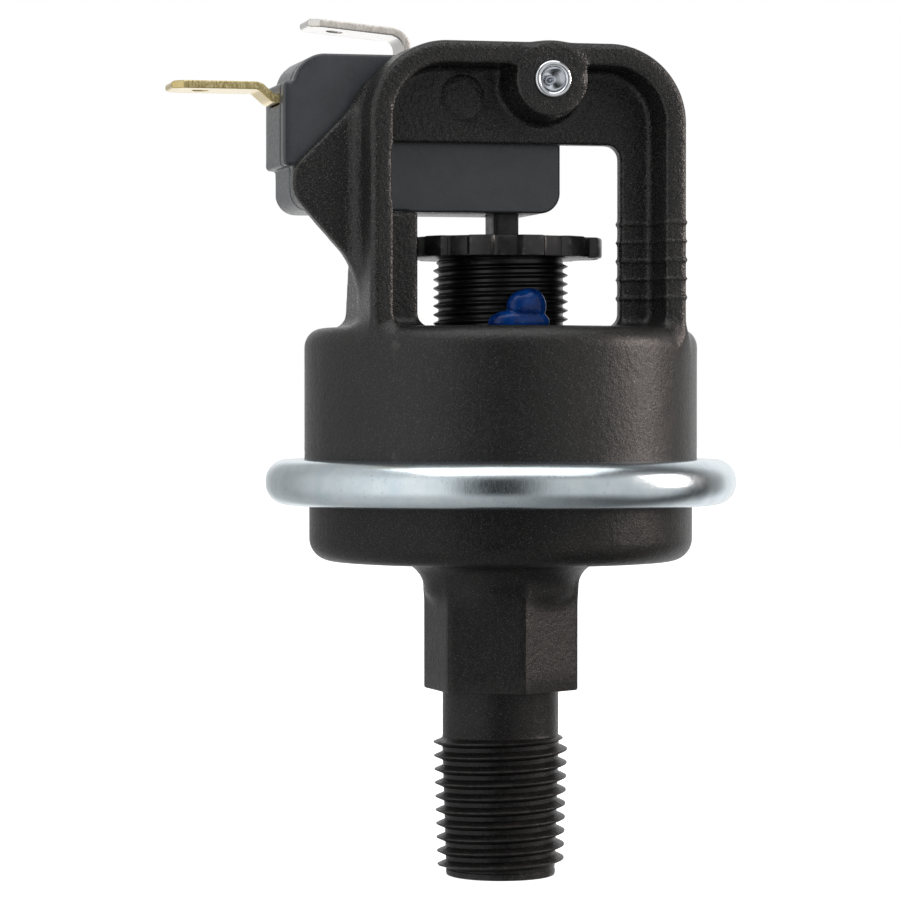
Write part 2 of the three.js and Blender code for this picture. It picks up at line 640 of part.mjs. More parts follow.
const parts = [
  ["lower_housing", lowerHousing, HOUSING_PLASTIC],
  ["upper_housing", upperHousing, HOUSING_PLASTIC],
  ["crimp_ring", crimpRing, ZINC],
  ["diaphragm", diaphragm, BLACK_RUBBER],
  ["piston", piston, SCREW_PLASTIC],
  ["range_spring", rangeSpring, STEEL],
  ["spring_seat", springSeat, STEEL],
  ["adjusting_screw", adjustingScrew, SCREW_PLASTIC],
  ["tamper_lacquer", tamperLacquer, BLUE_LACQUER],
  ["switch_case", switchCase, CASE_PLASTIC],
  ["switch_cover", switchCover, CASE_PLASTIC],
  ["switch_button", switchButton, BUTTON_PLASTIC],
  ["switch_rivet", switchRivet, STEEL],
  ["common_terminal", commonTerminal, TINNED],
  ["normally_open_terminal", openTerminal, BRASS],
  ["snap_blade", snapBlade, SPRING_COPPER],
  ["snap_spring", snapSpring, SPRING_COPPER],
  ["moving_contact", movingContact, SILVER],
  ["fixed_contact", fixedContact, SILVER],
  ["rest_stop", restStop, STEEL],
];

const pressureSwitch = new THREE.Group();
for (const [name, shape, look] of parts) {
  const mesh = new THREE.Mesh(geometryOf(shape()), material(...look));
  mesh.name = name;
  pressureSwitch.add(mesh);
}

export default pressureSwitch;
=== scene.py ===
import json
import math

import bmesh
import bpy
import numpy as np
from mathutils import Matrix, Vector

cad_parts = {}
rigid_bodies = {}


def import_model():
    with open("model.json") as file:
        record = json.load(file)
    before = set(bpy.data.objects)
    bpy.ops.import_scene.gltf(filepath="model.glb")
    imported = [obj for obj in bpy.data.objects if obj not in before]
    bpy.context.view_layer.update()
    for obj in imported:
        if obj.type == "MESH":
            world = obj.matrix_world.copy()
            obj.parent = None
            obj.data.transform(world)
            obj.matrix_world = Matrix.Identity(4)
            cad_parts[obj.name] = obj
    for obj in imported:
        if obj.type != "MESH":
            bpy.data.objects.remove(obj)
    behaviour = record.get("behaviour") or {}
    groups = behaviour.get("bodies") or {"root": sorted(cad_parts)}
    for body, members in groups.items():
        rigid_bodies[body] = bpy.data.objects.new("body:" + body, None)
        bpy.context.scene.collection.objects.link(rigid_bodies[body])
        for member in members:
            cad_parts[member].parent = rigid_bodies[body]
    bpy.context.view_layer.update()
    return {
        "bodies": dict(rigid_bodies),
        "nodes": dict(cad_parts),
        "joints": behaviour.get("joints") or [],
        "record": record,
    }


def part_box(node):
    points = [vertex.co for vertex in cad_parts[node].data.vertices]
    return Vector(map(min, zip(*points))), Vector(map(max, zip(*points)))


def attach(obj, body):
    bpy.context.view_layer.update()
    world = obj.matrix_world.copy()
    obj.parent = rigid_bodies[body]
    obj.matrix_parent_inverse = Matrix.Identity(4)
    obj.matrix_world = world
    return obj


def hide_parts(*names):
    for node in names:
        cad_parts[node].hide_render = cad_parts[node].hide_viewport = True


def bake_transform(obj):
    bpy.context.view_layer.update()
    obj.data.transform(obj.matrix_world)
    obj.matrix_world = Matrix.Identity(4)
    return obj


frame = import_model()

import openvdb
from mathutils import Vector

# The looks of an adjustable diaphragm pressure switch. Shapes are worked out in millimetres, in the
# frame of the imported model, and scaled to metres when a mesh is made.
MM = 0.001
scene = bpy.context.scene


def span(node):
    """A CAD node's lowest and highest corners at rest, in millimetres."""
    low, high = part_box(node)
    return low / MM, high / MM


# ---------- sizes from the frame ----------
LOWER_LOW, LOWER_HIGH = span("lower_housing")
UPPER_LOW, _ = span("upper_housing")
RING_LOW, RING_HIGH = span("crimp_ring")
SCREW_LOW, SCREW_HIGH = span("adjusting_screw")
SPRING_LOW, SPRING_HIGH = span("range_spring")
CASE_LOW, CASE_HIGH = span("switch_case")
COVER_LOW, COVER_HIGH = span("switch_cover")
BUTTON_LOW, BUTTON_HIGH = span("switch_button")
RIVET_LOW, RIVET_HIGH = span("switch_rivet")
COMMON_LOW, COMMON_HIGH = span("common_terminal")
OPEN_LOW, OPEN_HIGH = span("normally_open_terminal")
FLANGE_RADIUS = LOWER_HIGH.x
FLANGE_LOW_TOP = LOWER_HIGH.z

# ---------- other sizes, in millimetres ----------
# The nipple: a short lead, then a taper pipe thread with 18 turns to the inch.
PORT_BORE = 3.2
LEAD_RADIUS, LEAD_TOP = 5.67, 0.75
PIPE_PITCH, PIPE_TAPER = 25.4 / 18, 1 / 32
PIPE_CREST, PIPE_DEPTH = 6.55, 0.95
THREAD_TOP, THREAD_LIFT, THREAD_FADE_TURNS = 14.55, 0.79, 0.25
NECK_RADIUS, NECK_BOTTOM = 6.015, 14.8

# The wrench hex, and the flare that carries it out to the lower shell.
HEX_BOTTOM, HEX_CORNER, HEX_CORNER_WORN = 19.3, 8.2, 0.07
HEX_TURN = math.radians(-25.6)
FLARE_RADIUS, FLARE_Z, FLARE_FILLET, FLARE_SLOPE, FLARE_BLEND = 11.3, 29.25, 3.5, 0.9, 0.28
SHELL_BOTTOM, LOWER_RADIUS, LOWER_EDGE = 32.7, 19.84, 2.3
CHAMBER_RADIUS, CHAMBER_FLOOR = 16.5, 34.9

# The upper shell, its cavity and the boss inside that holds the screw.
UPPER_RADIUS, UPPER_EDGE = 20.33, 2.0
ROOF, ROOF_THICKNESS, CAVITY_RADIUS = 56.7, 2.5, 17.5
SCREW_BORE, BORE_BOSS, BORE_BOSS_BOTTOM = 7.1, 9.3, 46.0

# The arch on the shell. Its outline, recess and windows run on down into the shell.
ARCH_FRONT, ARCH_HALF, ARCH_WALL = -12.6, 16.45, 2.35
ARCH_TOP, ARCH_CORNER, ARCH_DRAFT = 85.3, 8.0, 0.012
ARCH_FOOT, FOOT_SUNK, FOOT_SLOPE = 53.7, 1.2, 0.55
ARCH_ROOT, RECESS_ROOT, WINDOW_ROOT = 20, 40, 50
WEB_FRONT, WEB_BACK = -7.3, -5.3
WINDOW_TOP = 75.3
SIDE_BACK, SIDE_TOP, SIDE_INSET = 0.15, 68.0, 0.55
SIDE_SLOPE, SIDE_SLOPE_HEIGHT = 0.26, 12
WING_ROOT_X, WING_HIGH_Z, WING_LOW_Z, WING_RADIUS = -13.0, 78.3, 63.4, 3.3
BOSS_RADIUS, BOSS_DRAFT = 3.7, 0.1
MARK_X, MARK_Z, MARK_RADIUS, MARK_WIDTH, MARK_DEPTH = -5.8, 80.05, 2.3, 0.24, 0.14
RIB_LOWEST, RIB_SPACING, RIB_COUNT = 59.7, 1.9, 5
RIB_WIDTH, RIB_PROUD, RIB_LEFT, RIB_REACH = 0.3, 0.17, 10.6, 0.6

# The switch's two holes. The rivet goes through the upper one, and the wing's tip covers the lower
# one, where the CAD model has a peg that isn't made here.
RIVET_X, RIVET_Z = 2.23, 81.5
PEG_X, PEG_Z = -19.97, 71.2
SWITCH_HOLES = ((RIVET_X, RIVET_Z), (PEG_X, PEG_Z))
HOLE_RADIUS, HOLE_SPOT, HOLE_SPOT_DEPTH = 1.6, 2.9, 0.25

# The crimp ring, its rolled lips, and the shallow dents of the rolling tool on its outside.
RING_EDGE, RING_WALL, RING_GAP = 2.2, 0.8, 0.1
LIP_LOW, LIP_HIGH = 19.95, 20.45
RING_DENT, DENTED_FROM = 0.0011, 22.5

# The adjusting screw, 28 turns to the inch, and its notched wheel.
SCREW_MAJOR, SCREW_DEPTH, SCREW_PITCH = 6.98, 0.55, 25.4 / 28
SCREW_HOLLOW, SCREW_CEILING = 5.2, 64.2
WHEEL_BOTTOM, WHEEL_NOTCH, WHEEL_LOBES, WHEEL_HOLE = 63.9, 9.75, 12, 2.75
WHEEL_TURN, LOBE_HALF, LOBE_FLANK = math.radians(4.3), math.radians(6.6), math.radians(1.6)

# The switch's body, where its button and tabs come out, and the tabs' strip.
SWITCH_WALL, SWITCH_CORNER, SWITCH_SOFT_CORNER = 1.4, 2.1, 3.3
BUTTON_X, BUTTON_HALF_X, BUTTON_HALF_Y = 0.14, 1.335, 2.03
COMMON_X, OPEN_Z = -10.5, 79.8
TAB_THICKNESS, TAB_HALF, TAB_NECK, TAB_CHAMFER = 0.8, 3.175, 2.5, 1.1
TAB_HOLE = 0.85

# The range spring: radius of the coil and of the wire, pitch where it is closed, and what is ground
# off each end.
SPRING_COIL, SPRING_WIRE, SPRING_TURNS = 4.2, 0.45, 7
SPRING_CLOSED_PITCH, SPRING_GROUND = 0.93, 0.2


# ---------- signed distances, in millimetres ----------
def grid(low, high, cell):
    """Coordinates of a regular grid as three broadcasting arrays, with its lowest corner."""
    axes = [np.arange(a, b + cell, cell, dtype=np.float32) for a, b in zip(low, high)]
    return axes[0][:, None, None], axes[1][None, :, None], axes[2][None, None, :]


def union_round(a, b, radius):
    """Either solid, with a concave fillet where they meet."""
    inside = np.hypot(np.maximum(radius - a, 0), np.maximum(radius - b, 0))
    return np.maximum(radius, np.minimum(a, b)) - inside


def meet_round(a, b, radius):
    """What is in both solids, with a rounded edge where their faces meet."""
    outside = np.hypot(np.maximum(radius + a, 0), np.maximum(radius + b, 0))
    return np.minimum(-radius, np.maximum(a, b)) + outside


def cut_round(a, b, radius):
    return meet_round(a, -b, radius)


def slab(t, low, high):
    return np.abs(t - (low + high) / 2) - (high - low) / 2


def rounded_rectangle(u, v, u0, u1, v0, v1, radius):
    du = slab(u, u0, u1) + radius
    dv = slab(v, v0, v1) + radius
    return np.hypot(np.maximum(du, 0), np.maximum(dv, 0)) + np.minimum(np.maximum(du, dv), 0) - radius


def segment_distance(u, v, start, end):
    du, dv = end[0] - start[0], end[1] - start[1]
    along = np.clip(((u - start[0]) * du + (v - start[1]) * dv) / (du * du + dv * dv), 0, 1)
    return np.hypot(u - start[0] - along * du, v - start[1] - along * dv)


def line_side(u, v, start, end):
    """Distance to the right of a line, seen along it."""
    du, dv = end[0] - start[0], end[1] - start[1]
    return ((u - start[0]) * dv - (v - start[1]) * du) / math.hypot(du, dv)


# ---------- meshes ----------
def finish_mesh(name, points, faces, sharp=40):
    """A mesh in metres from points in millimetres, shaded smooth but for edges over the sharp angle."""
    mesh = bpy.data.meshes.new(name)
    mesh.from_pydata(np.asarray(points, float) * MM, [], faces)
    work = bmesh.new()
    work.from_mesh(mesh)
    bmesh.ops.remove_doubles(work, verts=work.verts, dist=2e-7)
    bmesh.ops.dissolve_degenerate(work, edges=work.edges, dist=1e-8)
    bmesh.ops.recalc_face_normals(work, faces=work.faces)
    for face in work.faces:
        face.smooth = True
    for edge in work.edges:
        if len(edge.link_faces) == 2 and edge.calc_face_angle(0) > math.radians(sharp):
            edge.smooth = False
    work.to_mesh(mesh)
    work.free()
    return mesh


def field_mesh(name, field, low, cell, adaptivity=0.0):
    """The zero surface of a distance field."""
    volume = openvdb.FloatGrid(3 * cell)
    volume.copyFromArray(np.array(field, dtype=np.float32))
    points, triangles, quads = volume.convertToPolygons(isovalue=0.0, adaptivity=adaptivity)
    faces = [tuple(f) for f in triangles.tolist()] + [tuple(f) for f in quads.tolist()]
    return finish_mesh(name, points * cell + np.array(low), faces, sharp=70)


def rings_mesh(name, rows, wrap_shift=None, closed=True, sharp=40):
    """A skin over rows of points round an axis. A row listed in wrap_shift joins, after a full turn,
    the row that many further on."""
    rows = np.asarray(rows, float)
    count, segments = rows.shape[:2]
    shift = wrap_shift if wrap_shift is not None else [0] * count
    faces = []
    for i in range(count if closed else count - 1):
        j = (i + 1) % count
        here, there = i * segments, j * segments
        for k in range(segments - 1):
            faces.append((here + k, here + k + 1, there + k + 1, there + k))
        last = segments - 1
        wrapped_i, wrapped_j = (i + shift[i]) % count, (j + shift[j]) % count
        faces.append((here + last, wrapped_i * segments, wrapped_j * segments, there + last))
    return finish_mesh(name, rows.reshape(-1, 3), faces, sharp)


def ring(radius, z, angles):
    """One row of points about Z: radius and height are numbers or arrays over the angles, from -Y."""
    radius = np.broadcast_to(radius, angles.shape)
    z = np.broadcast_to(z, angles.shape)
    return np.stack([radius * np.sin(angles), -radius * np.cos(angles), z], axis=1)


# One turn of a worn thread: how far through the turn, and how high on the ridge.
RIDGE = (
    (0.0, 1.0),
    (0.05, 0.98),
    (0.15, 0.68),
    (0.26, 0.28),
    (0.35, 0.05),
    (0.65, 0.05),
    (0.74, 0.28),
    (0.85, 0.68),
    (0.95, 0.98),
)


def thread_rows(angles, bottom, top, pitch, core, depth, lift=0.0, fade_turns=0.6):
    """Rows that climb one pitch a turn between two heights, following a right-handed thread, pressed
    flat at both ends, with how far on each row joins after its turn."""
    first = -1 - math.ceil(lift / pitch)
    last = math.ceil((top - bottom) / pitch) + 1
    rows, shifts = [], []
    for turn in range(first, last):
        for phase, height in RIDGE:
            start = bottom + lift + pitch * (turn + phase)
            z = np.clip(start + pitch * angles / (2 * math.pi), bottom, top)
            fade = np.clip(np.minimum(z - bottom, top - z) / (pitch * fade_turns), 0, 1)
            rows.append(ring(core(z) + depth * height * fade, z, angles))
            shifts.append(len(RIDGE) if start < top else 0)
    return rows, shifts


class Skin:
    """The skin of a moulded part, as rows of points about Z at the same angles."""

    def __init__(self, angles):
        self.angles = angles
        self.rows = []
        self.shifts = []

    def outline(self, *points):
        """Adds a row at each (radius, height), where the radius may be an array over the angles."""
        for radius, z in points:
            self.rows.append(ring(radius, z, self.angles))
            self.shifts.append(0)

    def thread(self, rows, shifts):
        self.rows.extend(rows)
        self.shifts.extend(shifts)

    def mesh(self, name):
        return rings_mesh(name, self.rows, self.shifts, sharp=32)


def turned_mesh(name, profile, segments, sharp=40, axis_y=None):
    """A solid of revolution from a closed profile of (radius, height), about Z, or about an axis
    along Y through axis_y = (x, z)."""
    angles = np.arange(segments) * 2 * math.pi / segments
    rows = np.array([ring(radius, z, angles) for radius, z in profile])
    if axis_y is not None:
        rows = np.stack([rows[..., 0] + axis_y[0], rows[..., 2], -rows[..., 1] + axis_y[1]], axis=-1)
    return rings_mesh(name, rows, sharp=sharp)


def arc(r, z, radius, start, end, steps):
    angles = np.radians(np.linspace(start, end, steps + 1))
    return [(r + radius * math.cos(a), z + radius * math.sin(a)) for a in angles]


def new_piece(mesh, look, node):
    """A piece that stands for a CAD node. It doesn't ride on anything yet."""
    piece = bpy.data.objects.new(mesh.name, mesh)
    scene.collection.objects.link(piece)
    mesh.materials.append(look)
    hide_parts(node)
    return piece


def place(mesh, look, body, node):
    """A piece that stands for a CAD node and rides on one body."""
    piece = new_piece(mesh, look, node)
    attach(piece, body)


# ---------- materials ----------
class Look:
    """A procedural material: a Principled shader fed by noise in the object's own coordinates."""

    def __init__(self, name, **constants):
        self.material = bpy.data.materials.new(name)
        self.material.use_nodes = True
        self.tree = self.material.node_tree
        self.shader = self.tree.nodes["Principled BSDF"]
        for socket, value in constants.items():
            self.shader.inputs[socket.replace("_", " ")].default_value = value
        self.coordinates = self.node("ShaderNodeTexCoord").outputs["Object"]

    def node(self, kind, **settings):
        made = self.tree.nodes.new(kind)
        for name, value in settings.items():
            setattr(made, name, value)
        return made

    def link(self, source, target):
        self.tree.links.new(source, target)
        return target.node

    def noise(self, size_mm, detail=3.0, roughness=0.55, stretch=(1, 1, 1)):
        """Noise whose blotches are about size_mm across."""
        mapping = self.node("ShaderNodeMapping")
        mapping.inputs["Scale"].default_value = stretch
        self.link(self.coordinates, mapping.inputs["Vector"])
        made = self.node("ShaderNodeTexNoise")
        made.inputs["Scale"].default_value = 1 / (size_mm * MM)
        made.inputs["Detail"].default_value = detail
        made.inputs["Roughness"].default_value = roughness
        self.link(mapping.outputs["Vector"], made.inputs["Vector"])
        return made.outputs["Fac"]

    def ramp(self, factor, stops):
        made = self.node("ShaderNodeValToRGB")
        ramp = made.color_ramp
        while len(ramp.elements) < len(stops):
            ramp.elements.new(0.5)
        for element, (position, colour) in zip(ramp.elements, stops):
            element.position = position
            element.color = (*colour, 1) if len(colour) == 3 else colour
        self.link(factor, made.inputs["Fac"])
        return made.outputs["Color"]

    def mix(self, factor, a, b, blend="MIX"):
        made = self.node("ShaderNodeMix", data_type="RGBA", blend_type=blend)
        for value, socket in ((factor, 0), (a, 6), (b, 7)):
            if isinstance(value, (float, int)):
                made.inputs[socket].default_value = value
            elif isinstance(value, tuple):
                made.inputs[socket].default_value = (*value, 1)
            else:
                self.link(value, made.inputs[socket])
        return made.outputs[2]

    def scaled(self, factor, low, high, from_low=0.3, from_high=0.7):
        made = self.node("ShaderNodeMapRange")
        made.inputs["From Min"].default_value = from_low
        made.inputs["From Max"].default_value = from_high
        made.inputs["To Min"].default_value = low
        made.inputs["To Max"].default_value = high
        self.link(factor, made.inputs["Value"])
        return made.outputs["Result"]

    def math(self, operation, a, b):
        made = self.node("ShaderNodeMath", operation=operation)
        for value, socket in ((a, made.inputs[0]), (b, made.inputs[1])):
            if isinstance(value, (float, int)):
                socket.default_value = value
            else:
                self.link(value, socket)
        return made.outputs["Value"]

    def above(self, low_mm, high_mm):
        """Rises from 0 to 1 between two heights of the object."""
        height = self.node("ShaderNodeSeparateXYZ")
        self.link(self.coordinates, height.inputs["Vector"])
        return self.scaled(height.outputs["Z"], 0.0, 1.0, low_mm * MM, high_mm * MM)

    def edges(self, low=0.52, high=0.6):
        """Where the surface is convex, for lighter edges: wear, and on the housing also painted edge
        highlights.
        """
        return self.scaled(self.node("ShaderNodeNewGeometry").outputs["Pointiness"], 0.0, 1.0, low, high)

    def colour(self, output):
        self.link(output, self.shader.inputs["Base Color"])

    def roughness(self, output):
        self.link(output, self.shader.inputs["Roughness"])

    def bump(self, *layers):
        """Bump from (height, depth in millimetres) layers, one on another."""
        normal = None
        for height, depth_mm in layers:
            made = self.node("ShaderNodeBump")
            made.inputs["Strength"].default_value = 1.0
            made.inputs["Distance"].default_value = depth_mm * MM
            self.link(height, made.inputs["Height"])
            if normal is not None:
                self.link(normal, made.inputs["Normal"])
            normal = made.outputs["Normal"]
        self.link(normal, self.shader.inputs["Normal"])


def housing_look(name, specular):
    """Black glass-filled plastic with a fine light speckle, which is its grain and also painted glints, and
    slightly rubbed edges, lighter as wear and as painted edge highlights. Above the roof of the shell
    it is glossier, a little lighter, with brighter speckle as more painted glints, and a leathery grain."""
    look = Look(name, Specular_IOR_Level=specular)
    above = look.above(ROOF - 0.5, ROOF + 2)
    fine = look.noise(0.12, 2, 0.7)
    # The light specks are the glass fill's grain and also painted glints.
    dull = look.ramp(
        fine,
        [(0.4, (0.005, 0.005, 0.005)), (0.58, (0.014, 0.0135, 0.013)), (0.7, (0.09, 0.09, 0.09))],
    )
    # Above the roof the tone is a little lighter and the specks brighter: painted glints.
    bright = look.ramp(
        fine,
        [(0.4, (0.006, 0.006, 0.006)), (0.57, (0.019, 0.0185, 0.018)), (0.71, (0.155, 0.155, 0.155))],
    )
    cloud = look.ramp(look.noise(4.0, 4), [(0.35, (0.0, 0.0, 0.0)), (0.75, (0.0055, 0.0045, 0.0042))])
    base = look.mix(1.0, look.mix(above, dull, bright), cloud, "ADD")
    # Lighter convex edges: rubbed wear, and also painted highlights along the edges.
    worn = look.math("MULTIPLY", look.edges(0.512, 0.57), look.scaled(look.noise(0.8), 0.0, 0.7))
    look.colour(look.mix(worn, base, (0.075, 0.073, 0.07)))
    polish = look.math("MULTIPLY", above, 0.09)
    look.roughness(look.math("SUBTRACT", look.scaled(look.noise(0.3, 5, 0.7), 0.26, 0.46), polish))
    leather = look.math("MULTIPLY", look.noise(0.42, 3, 0.6), above)
    look.bump(
        (look.noise(0.2, 3, 0.7), 0.035),
        (look.noise(0.55, 4), 0.05),
        (look.noise(2.5, 2), 0.05),
        (leather, 0.12),
    )
    return look.material


def screw_look():
    """Smooth black moulding with light scuffs along its sharpest edges."""
    look = Look("screw_plastic", Specular_IOR_Level=0.6)
    base = look.ramp(look.noise(1.6, 4), [(0.3, (0.008, 0.008, 0.009)), (0.7, (0.02, 0.02, 0.021))])
    scuffs = look.scaled(look.noise(0.7, 4), 0.0, 0.8, 0.48, 0.7)
    worn = look.math("MULTIPLY", look.edges(0.53, 0.62), scuffs)
    look.colour(look.mix(worn, base, (0.22, 0.22, 0.215)))
    look.roughness(look.scaled(look.noise(0.9, 3), 0.26, 0.42))
    look.bump((look.noise(0.35, 3), 0.006))
    return look.material


def switch_look():
    """Smooth blue-black thermoset."""
    look = Look("switch_plastic", Specular_IOR_Level=0.75)
    base = look.ramp(look.noise(2.5, 4), [(0.3, (0.048, 0.054, 0.063)), (0.7, (0.064, 0.072, 0.084))])
    worn = look.math("MULTIPLY", look.edges(0.52, 0.6), look.scaled(look.noise(0.6), 0.1, 0.5))
    look.colour(look.mix(worn, base, (0.09, 0.10, 0.115)))
    look.roughness(look.scaled(look.noise(0.4, 3), 0.24, 0.36))
    look.bump((look.noise(0.18, 2), 0.004), (look.noise(2.4, 2), 0.01))
    return look.material


def zinc_look():
    """Bluish bright zinc plate, mottled, with fine upright marks and shallow dents."""
    look = Look("zinc_plate", Metallic=1.0)
    mottled = look.ramp(
        look.noise(2.4, 5, 0.6),
        [(0.3, (0.66, 0.77, 0.83)), (0.5, (0.73, 0.82, 0.87)), (0.7, (0.79, 0.87, 0.9))],
    )
    grime = look.ramp(look.noise(0.5, 4, 0.7), [(0.25, (0.6, 0.61, 0.61)), (0.4, (1.0, 1.0, 1.0))])
    look.colour(look.mix(0.6, mottled, grime, "MULTIPLY"))
    look.roughness(look.scaled(look.noise(0.3, 5, 0.65, stretch=(2, 2, 0.5)), 0.17, 0.28))
    upright = look.noise(0.3, 3, 0.6, stretch=(1.6, 1.6, 0.15))
    look.bump((look.noise(4.0, 2), 0.03), (upright, 0.004), (look.noise(0.16, 2), 0.003))
    return look.material


def metal_look(name, dark, light, roughness, grain_mm=0.35, bump_mm=0.004):
    look = Look(name, Metallic=1.0)
    look.colour(look.ramp(look.noise(grain_mm * 3, 4), [(0.3, dark), (0.7, light)]))
    look.roughness(look.scaled(look.noise(grain_mm, 4), *roughness))
    look.bump((look.noise(grain_mm, 3), bump_mm), (look.noise(grain_mm * 7, 2), bump_mm * 4))
    return look.material


def sheared_metal_look(name, dark, light, torn_dark, torn_light):
    """Rolled strip: smooth faces, with torn grain on the sheared sides that face along Y."""
    look = Look(name)
    face = look.ramp(look.noise(1.4, 4), [(0.3, dark), (0.7, light)])
    torn = look.ramp(look.noise(0.22, 5, 0.7, stretch=(1, 1, 0.5)), [(0.35, torn_dark), (0.65, torn_light)])
    normal = look.node("ShaderNodeSeparateXYZ")
    look.link(look.node("ShaderNodeNewGeometry").outputs["True Normal"], normal.inputs["Vector"])
    side = look.scaled(look.math("ABSOLUTE", normal.outputs["Y"], 0.0), 0.0, 1.0, 0.6, 0.85)
    look.colour(look.mix(side, face, torn))
    look.link(look.scaled(side, 1.0, 0.5, 0.0, 1.0), look.shader.inputs["Metallic"])
    face_roughness = look.scaled(look.noise(0.3, 4), 0.08, 0.2)
    look.roughness(look.math("ADD", face_roughness, look.scaled(side, 0.0, 0.35, 0.0, 1.0)))
    torn_height = look.math("MULTIPLY", look.noise(0.2, 4, 0.7), side)
    look.bump((torn_height, 0.02), (look.noise(0.5, 3), 0.003))
    return look.material


def lacquer_look():
    """Thick glossy blue varnish with trapped bubbles."""
    look = Look("blue_lacquer", Coat_Weight=0.3, Coat_Roughness=0.05, Specular_IOR_Level=0.15)
    deep = look.ramp(look.noise(1.1, 3), [(0.3, (0.0005, 0.02, 0.14)), (0.7, (0.002, 0.065, 0.33))])
    bubbles = look.ramp(look.noise(0.22, 2, 0.8), [(0.68, (0.0, 0.0, 0.0)), (0.74, (0.35, 0.45, 0.6))])
    look.colour(look.mix(1.0, deep, bubbles, "ADD"))
    look.roughness(look.scaled(look.noise(0.8, 2), 0.16, 0.3))
    look.bump((look.noise(1.3, 2), 0.05))
    return look.material


def rubber_look():
    look = Look("diaphragm_rubber", Specular_IOR_Level=0.3)
    look.colour(look.ramp(look.noise(0.8, 4), [(0.3, (0.012, 0.012, 0.012)), (0.7, (0.03, 0.03, 0.03))]))
    look.roughness(look.scaled(look.noise(0.4), 0.6, 0.85))
    look.bump((look.noise(0.5, 3), 0.02))
    return look.material


HOUSING = housing_look("housing_plastic", 0.47)
LOWER_HOUSING = housing_look("housing_plastic_dull", 0.27)
SCREW = screw_look()
SWITCH = switch_look()
ZINC = zinc_look()
STEEL = metal_look("bright_steel", (0.5, 0.52, 0.54), (0.8, 0.81, 0.82), (0.14, 0.3))
RIVET_STEEL = metal_look("rivet_steel", (0.78, 0.81, 0.85), (0.93, 0.95, 0.98), (0.07, 0.16), 0.8, 0.001)
COPPER = metal_look("spring_copper", (0.55, 0.3, 0.15), (0.8, 0.52, 0.32), (0.2, 0.36))
SILVER = metal_look("contact_silver", (0.7, 0.69, 0.67), (0.92, 0.91, 0.89), (0.12, 0.3))
BRASS = sheared_metal_look(
    "brass_strip",
    dark=(0.78, 0.6, 0.24),
    light=(0.92, 0.76, 0.38),
    torn_dark=(0.42, 0.30, 0.09),
    torn_light=(0.98, 0.86, 0.48),
)
TINNED = sheared_metal_look(
    "tinned_strip",
    dark=(0.9, 0.885, 0.85),
    light=(0.99, 0.98, 0.95),
    torn_dark=(0.72, 0.68, 0.61),
    torn_light=(1.0, 0.98, 0.93),
)
LACQUER = lacquer_look()
RUBBER = rubber_look()


# ---------- lower housing: nipple, neck, hex and lower shell ----------
def hex_radius(angles):
    apothem = HEX_CORNER * math.cos(math.pi / 6)
    from_flat = (angles - HEX_TURN + math.pi / 6) % (math.pi / 3) - math.pi / 6
    return np.minimum(apothem / np.cos(from_flat), HEX_CORNER - HEX_CORNER_WORN)


def flare_radius(z):
    """The flare's fillet under the lower shell, and the cone it runs out into below."""
    if z > FLARE_Z:
        return FLARE_RADIUS - math.sqrt(max(FLARE_FILLET**2 - (z - FLARE_Z) ** 2, 0.04))
    return FLARE_RADIUS - FLARE_FILLET - (FLARE_Z - z) * FLARE_SLOPE


